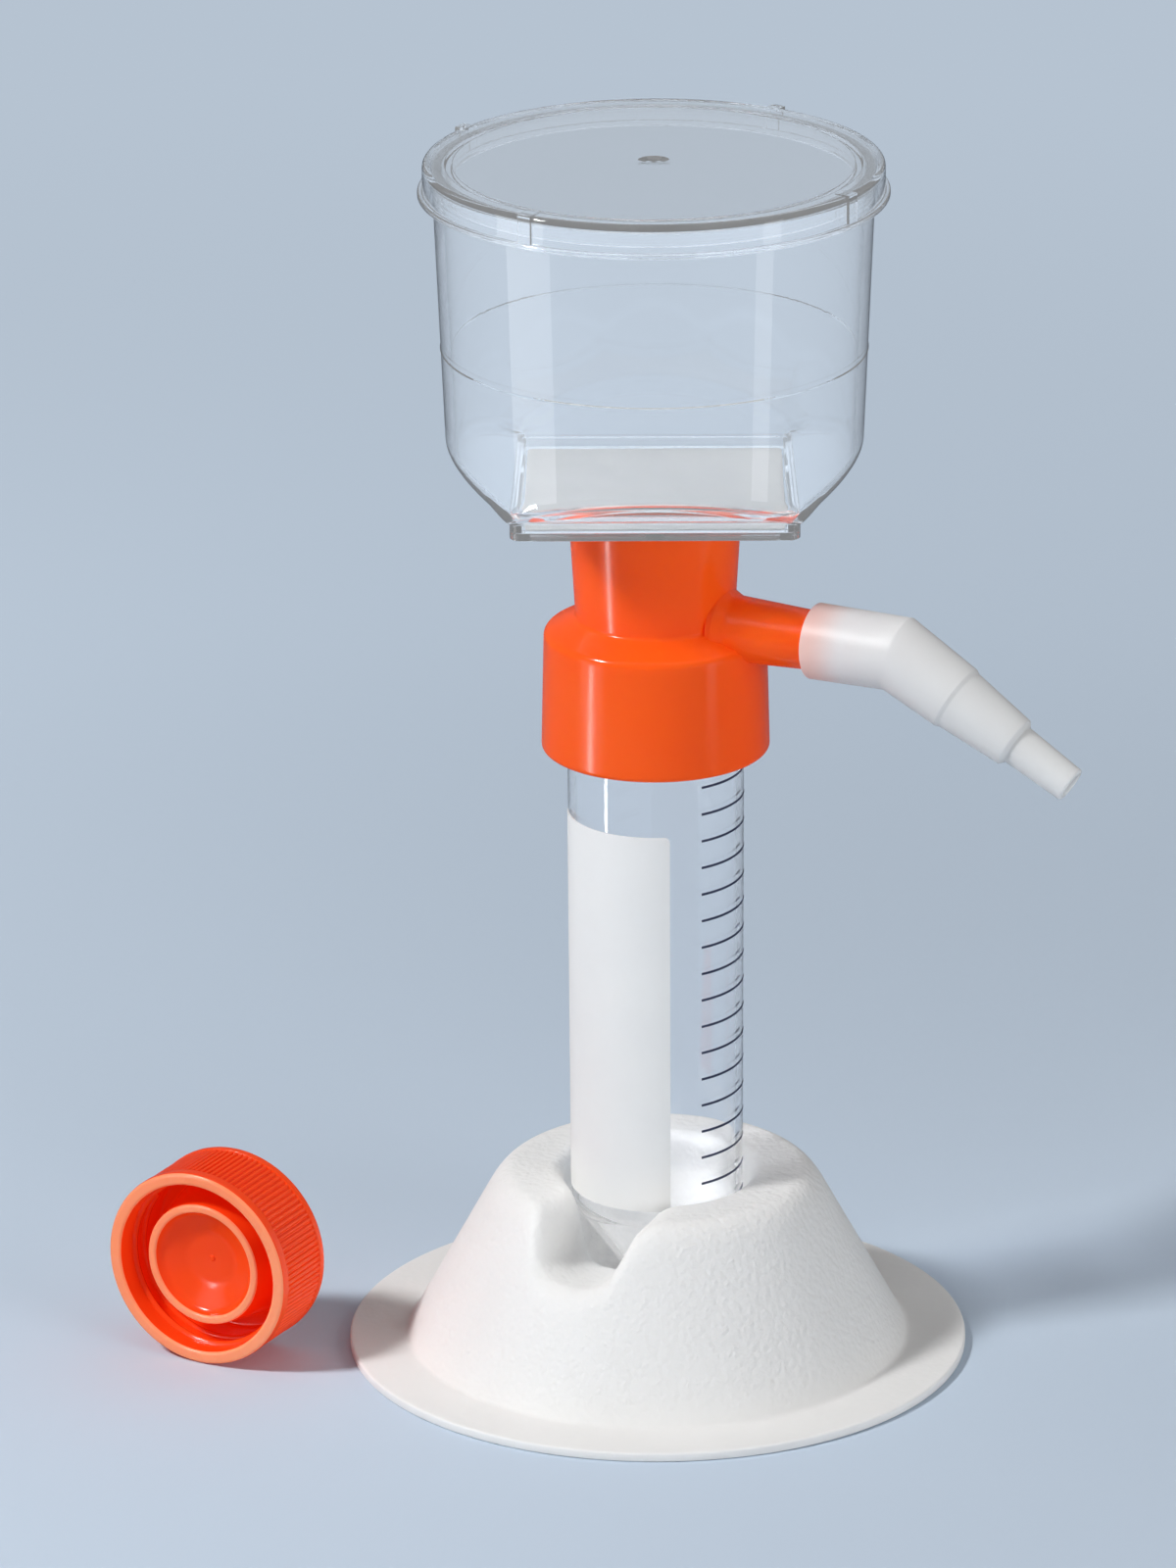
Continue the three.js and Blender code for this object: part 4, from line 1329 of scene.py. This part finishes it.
def makeLid():
    size = lidSet
    under, top, edge = lidHigh.z - size["thickness"], lidHigh.z, lidLow.z
    skirtBore = funnelHigh.x + size["gap"]
    skirt, lip = skirtBore + size["skirtWall"], lidHigh.x
    ring = funnelHigh.x - funnelSet["wall"] - 2 * size["gap"]
    bendAt, bendDrop, bendRound = size["gateBend"]
    lid = turnedPiece("lidCover", [
        (0.0, under),
        (ring - size["ringWall"], under, size["smallRound"]),
        (ring - size["ringWall"], top - size["ringDepth"], size["smallRound"]),
        (ring, top - size["ringDepth"], size["smallRound"]),
        (ring, under, size["innerRound"]),
        (skirtBore, under, size["innerRound"]),
        (skirtBore, edge, size["fineRound"]),
        (lip, edge, size["lipRound"]),
        (lip, edge + size["lipHeight"], size["lipTopRound"]),
        (skirt, edge + size["lipHeight"], size["smallRound"]),
        (skirt, top, size["edgeRound"]),
        (size["gateRadius"], top, size["fineRound"]),
        (bendAt * size["gateRadius"], top - bendDrop * size["gateDepth"], bendRound),
        (0.0, top - size["gateDepth"]),
    ], lidFinish, segments=224)
    growNodes(lid, makeLugTree(), {
        "Count": size["lugs"], "Outside": skirt + size["lugStand"],
        "First": math.radians(size["lugAzimuth"] - 90),
        "Width": size["lugWidth"], "Depth": size["skirtWall"] + size["lugStand"] - size["lugInset"],
        "Low": edge + size["lugFoot"], "High": top - size["lugTop"], "Tab Reach": size["tabReach"],
        "Tab Low": top - size["tabRoot"], "Tab High": top + size["tabProud"], "Finish": lidFinish,
    }, sharp=30)
    seat(lid, "head", "clear_plastic", "funnel_lid")


makeLid()

# the tube's cap, standing on its edge

capLow, capHigh = boxRoundAxis("tube_cap")

capSet = {
    "height": 14.1 * mm,
    "radius": 17.05 * mm,  # over the ribs
    "bore": 14.9 * mm,
    "ribs": 108,
    "ribDepth": 0.42 * mm,
    "mouthBand": 2.0 * mm,
    "topBand": 1.7 * mm,
    "topWall": 1.5 * mm,
    "plugRadius": 10.6 * mm,
    "plugRoot": 12.6 * mm,
    "plugWall": 1.5 * mm,
    "plugRecess": 2.1 * mm,
    "plugLip": 0.8,  # share of the plug's wall left at its lip
    "lipRound": 0.4 * mm,
    "dish": 3.4 * mm,
    "pip": (0.35 * mm, 0.55 * mm, 0.25 * mm),  # in the dish's middle: top and foot radius, height
    # corners of the dish: share of the lip's bore, share of the depth, fillet
    "dishFlat": (0.5, 0.1, 5 * mm),  # above its floor
    "dishRise": (0.93, 0.35, 3 * mm),  # below its lip
    "innerRound": 0.5 * mm,
    "mouthRound": 0.6 * mm,
    "topRound": 1.2 * mm,
    "wellDraft": 0.15,  # of the hollow in the top, inwards for its depth
    "wellRound": 0.8 * mm,
    "bandRound": 0.2 * mm,
    "smallRound": 0.1 * mm,
    "ribWidth": 0.4 * mm,
    "ribOver": 0.3 * mm,  # of a rib's ends, over the bands
    "threadFrom": 3.0 * mm,
    "threadTurns": 1.6,
    "ridge": (0.8 * mm, 1.2 * mm),
    "ridgeSunk": 0.1 * mm,
    "ribSunk": 0.06 * mm,
    "paintedRimDepth": 0.35 * mm,  # of the lips, painted paler as a highlight and as light shining through them
    "paintedRimOver": (0.3 * mm, 0.2 * mm),  # how far they go over the plug's lip, inside and outside
    "turn": 28.7,  # degrees, the way its top faces, from the back to the right
}


def makeGripTree():  # a row of slim rounded ribs round the skirt
    tree, given = newGrowth("gripRibs", "Count", "Radius", "Low", "High", "Width")
    spine = shape(tree, "CurvePrimitiveLine", {
        "Start": vector(tree, z=given["Low"]), "End": vector(tree, z=given["High"]),
    })
    path = shape(tree, "ResampleCurve", {"Curve": spine, "Count": 9})
    section = shape(tree, "CurvePrimitiveCircle", {"Resolution": 8, "Radius": given["Width"]})
    rib = fadedSweep(tree, path, section, steepness=6.0, least=0.1)
    spots = shape(tree, "MeshCircle", {"Vertices": given["Count"], "Radius": given["Radius"]})
    return endGrowth(tree, joined(tree, copies(tree, spots, rib), given["Geometry"]))


def capPlace():  # its edge on the bench, its mouth to the front
    centre = (capLow + capHigh) / 2
    turn = Matrix.Rotation(-math.radians(capSet["turn"]), 4, "Z") @ Matrix.Rotation(-math.pi / 2, 4, "X")
    middle = turn @ Vector((0, 0, capSet["height"] / 2))
    return Matrix.Translation((centre.x - middle.x, centre.y - middle.y, capSet["radius"])) @ turn


def makeCap():
    size = capSet
    height, root = size["height"], size["radius"] - size["ribDepth"]
    ceiling = height - size["topWall"]
    lipBore = size["plugRadius"] - size["plugLip"] * size["plugWall"]
    dish = size["plugRecess"] + size["dish"]
    well = size["plugRoot"] - size["plugWall"]
    wellFloor = dish + size["plugWall"]
    bevel = 0.5 * size["ribDepth"]
    pipTop, pipFoot, pipHeight = size["pip"]
    flatAt, flatDrop, flatRound = size["dishFlat"]
    riseAt, riseDrop, riseRound = size["dishRise"]
    cap = turnedPiece("capShell", [
        (0.0, dish - pipHeight),
        (pipTop, dish - pipHeight),
        (pipFoot, dish, size["smallRound"]),
        (flatAt * lipBore, dish - flatDrop * size["dish"], flatRound),
        (riseAt * lipBore, size["plugRecess"] + riseDrop * size["dish"], riseRound),
        (lipBore, size["plugRecess"], size["lipRound"]),
        (size["plugRadius"], size["plugRecess"], size["lipRound"]),
        (size["plugRoot"], ceiling, size["innerRound"]),
        (size["bore"], ceiling, size["innerRound"]),
        (size["bore"], 0.0, size["innerRound"]),
        (size["radius"], 0.0, size["mouthRound"]),
        (size["radius"], size["mouthBand"], size["bandRound"]),
        (root, size["mouthBand"] + bevel, size["smallRound"]),
        (root, height - size["topBand"] - bevel, size["smallRound"]),
        (size["radius"], height - size["topBand"], size["bandRound"]),
        (size["radius"], height, size["topRound"]),
        (well, height, size["wellRound"]),
        (well - size["wellDraft"] * (height - wellFloor), wellFloor, size["topRound"]),
        (0.0, wellFloor),
    ], capFinish, segments=216)
    growNodes(cap, makeGripTree(), {
        "Count": size["ribs"], "Radius": root - size["ribSunk"], "Low": size["mouthBand"] - size["ribOver"],
        "High": height - size["topBand"] + size["ribOver"], "Width": size["ribWidth"], "Finish": capFinish,
    }, sharp=40)
    addThread(cap, size["bore"] + size["ridgeSunk"], size["threadFrom"], size["threadTurns"], size["ridge"],
              capFinish, sharp=40)
    # the lips take the paler finish: painted light, as if lit and shining through
    cap.data.materials.append(capPaintedLitRimFinish)
    rim = len(cap.data.materials) - 1
    inwards, outwards = size["paintedRimOver"]
    paintedLips = (
        (size["bore"], size["radius"], 0.0),
        (lipBore - inwards, size["plugRadius"] + outwards, size["plugRecess"]),
    )
    for face in cap.data.polygons:
        away, depth = face.center.xy.length, face.center.z
        if any(inner < away < outer and depth < level + size["paintedRimDepth"] for inner, outer, level in paintedLips):
            face.material_index = rim
    seat(moved(cap, capPlace()), "stand", "orange_plastic", "tube_cap")


makeCap()

# bench and light

stageSet = {
    "colour": (0.60, 0.70, 0.82),
    "mirrored": (0.20, 0.24, 0.30),  # the bench as glossy faces show it
    "patch": 0.6,
    "size": 14.0,
    "below": 0.1 * mm,  # the bench lies this far under the stand
    "sky": (0.96, 0.98, 1.0),
    "world": 0.19,
    "glossyWorld": 0.2,
    # distance from the middle at both ends, and level, to the eye alone
    "glow": (0.1, 0.8, 0.5),  # keeps the far bench as pale as the near one
    "fade": (0.35, 0.8, 0.28),  # takes the place of the lamps' pools of light
}

lampSet = {
    "leftBox": {"azimuth": -68, "height": 0.76, "away": 0.75, "size": (0.14, 0.14), "power": 7.9},
    "leftCard": {"azimuth": -67, "height": 0.10, "away": 0.34, "size": (0.16, 0.20), "power": 0.13},
    "stripCard": {"azimuth": -67, "height": 0.03, "away": 0.24, "size": (0.016, 0.055), "power": 0.06},
    "rightBox": {"azimuth": 46, "height": 0.26, "away": 1.0, "size": (0.5, 0.4), "power": 3.8},
    "rightCard": {"azimuth": 58, "height": 0.10, "away": 0.40, "size": (0.07, 0.24), "power": 0.06},
    "topBox": {"azimuth": 170, "height": 0.9, "away": 0.45, "size": (0.7, 0.4), "power": 0.3},
}


def makeBench():
    stage = stageSet
    half, colour = stage["size"] / 2, stage["colour"]
    glowFrom, glowTo, glowLevel = stage["glow"]
    fadeFrom, fadeTo, fadeLevel = stage["fade"]
    finish, tree, surface = newFinish(
        "benchPaint", Roughness=0.8, Specular_IOR_Level=0.0, Emission_Strength=1.0,
    )
    drift = driftColour(tree, surface, {**stage, "other": tuple(0.99 * value for value in colour)})
    shade = mixedColour(tree, mirroredShare(tree), drift, (*stage["mirrored"], 1.0))
    away = addNode(tree, "ShaderNodeVectorMath", {0: ownPlace(tree)}, operation="LENGTH").outputs["Value"]
    glow = ranged(tree, away, glowFrom, glowTo, 0.0, glowLevel, "SMOOTHSTEP")
    fade = ranged(tree, away, fadeFrom, fadeTo, curve="SMOOTHSTEP")
    seen = seenShare(tree)
    lit = mixedColour(tree, maths(tree, "MULTIPLY", fade, seen), shade, black)
    level = maths(tree, "ADD", glow, maths(tree, "MULTIPLY", fade, fadeLevel))
    pale = mixedColour(tree, maths(tree, "MULTIPLY", level, seen), black, (*colour, 1.0))
    tree.links.new(lit, surface.inputs["Base Color"])
    tree.links.new(pale, surface.inputs["Emission Color"])
    corners = [(-half, -half, 0), (half, -half, 0), (half, half, 0), (-half, half, 0)]
    bench = addPiece("bench", corners, [(0, 1, 2, 3)], finish)
    bench.location.z = -stage["below"]


def makeLamps():
    aim = axisPlace + Vector((0, 0, 0.1))  # half way up
    for name, lamp in lampSet.items():
        light = bpy.data.lights.new(name, "AREA")
        light.shape = "RECTANGLE"
        light.size, light.size_y = lamp["size"]
        light.energy = lamp["power"]
        holder = bpy.data.objects.new(name, light)
        bpy.context.scene.collection.objects.link(holder)
        holder.location = axisPlace + planWay(lamp["azimuth"]) * lamp["away"]
        holder.location.z += lamp["height"]
        holder.rotation_euler = (aim - holder.location).to_track_quat("-Z", "Y").to_euler()
        holder.visible_camera = False
        holder.visible_transmission = False
        holder.visible_diffuse = not name.endswith("Card")  # the cards are there for their reflections
        holder.visible_glossy = name != "rightBox"  # it stands so low that the lid would mirror it


def makeSky():
    world = bpy.data.worlds.new("studio")
    world.use_nodes = True
    bpy.context.scene.world = world
    tree, stage = world.node_tree, stageSet
    glossy = maths(tree, "MULTIPLY", mirroredShare(tree), stage["glossyWorld"] - stage["world"])
    soft = addNode(tree, "ShaderNodeBackground", {
        "Color": (*stage["sky"], 1.0), "Strength": maths(tree, "ADD", glossy, stage["world"]),
    })
    seen = addNode(tree, "ShaderNodeBackground", {"Color": (*stage["colour"], 1.0), "Strength": 1.0})
    mixed = addNode(tree, "ShaderNodeMixShader", {
        0: seenShare(tree), 1: soft.outputs[0], 2: seen.outputs[0],
    })
    tree.links.new(mixed.outputs[0], tree.nodes["World Output"].inputs[0])


makeBench()
makeLamps()
makeSky()
bpy.context.scene.view_settings.view_transform = "Standard"
print("stage and light made")
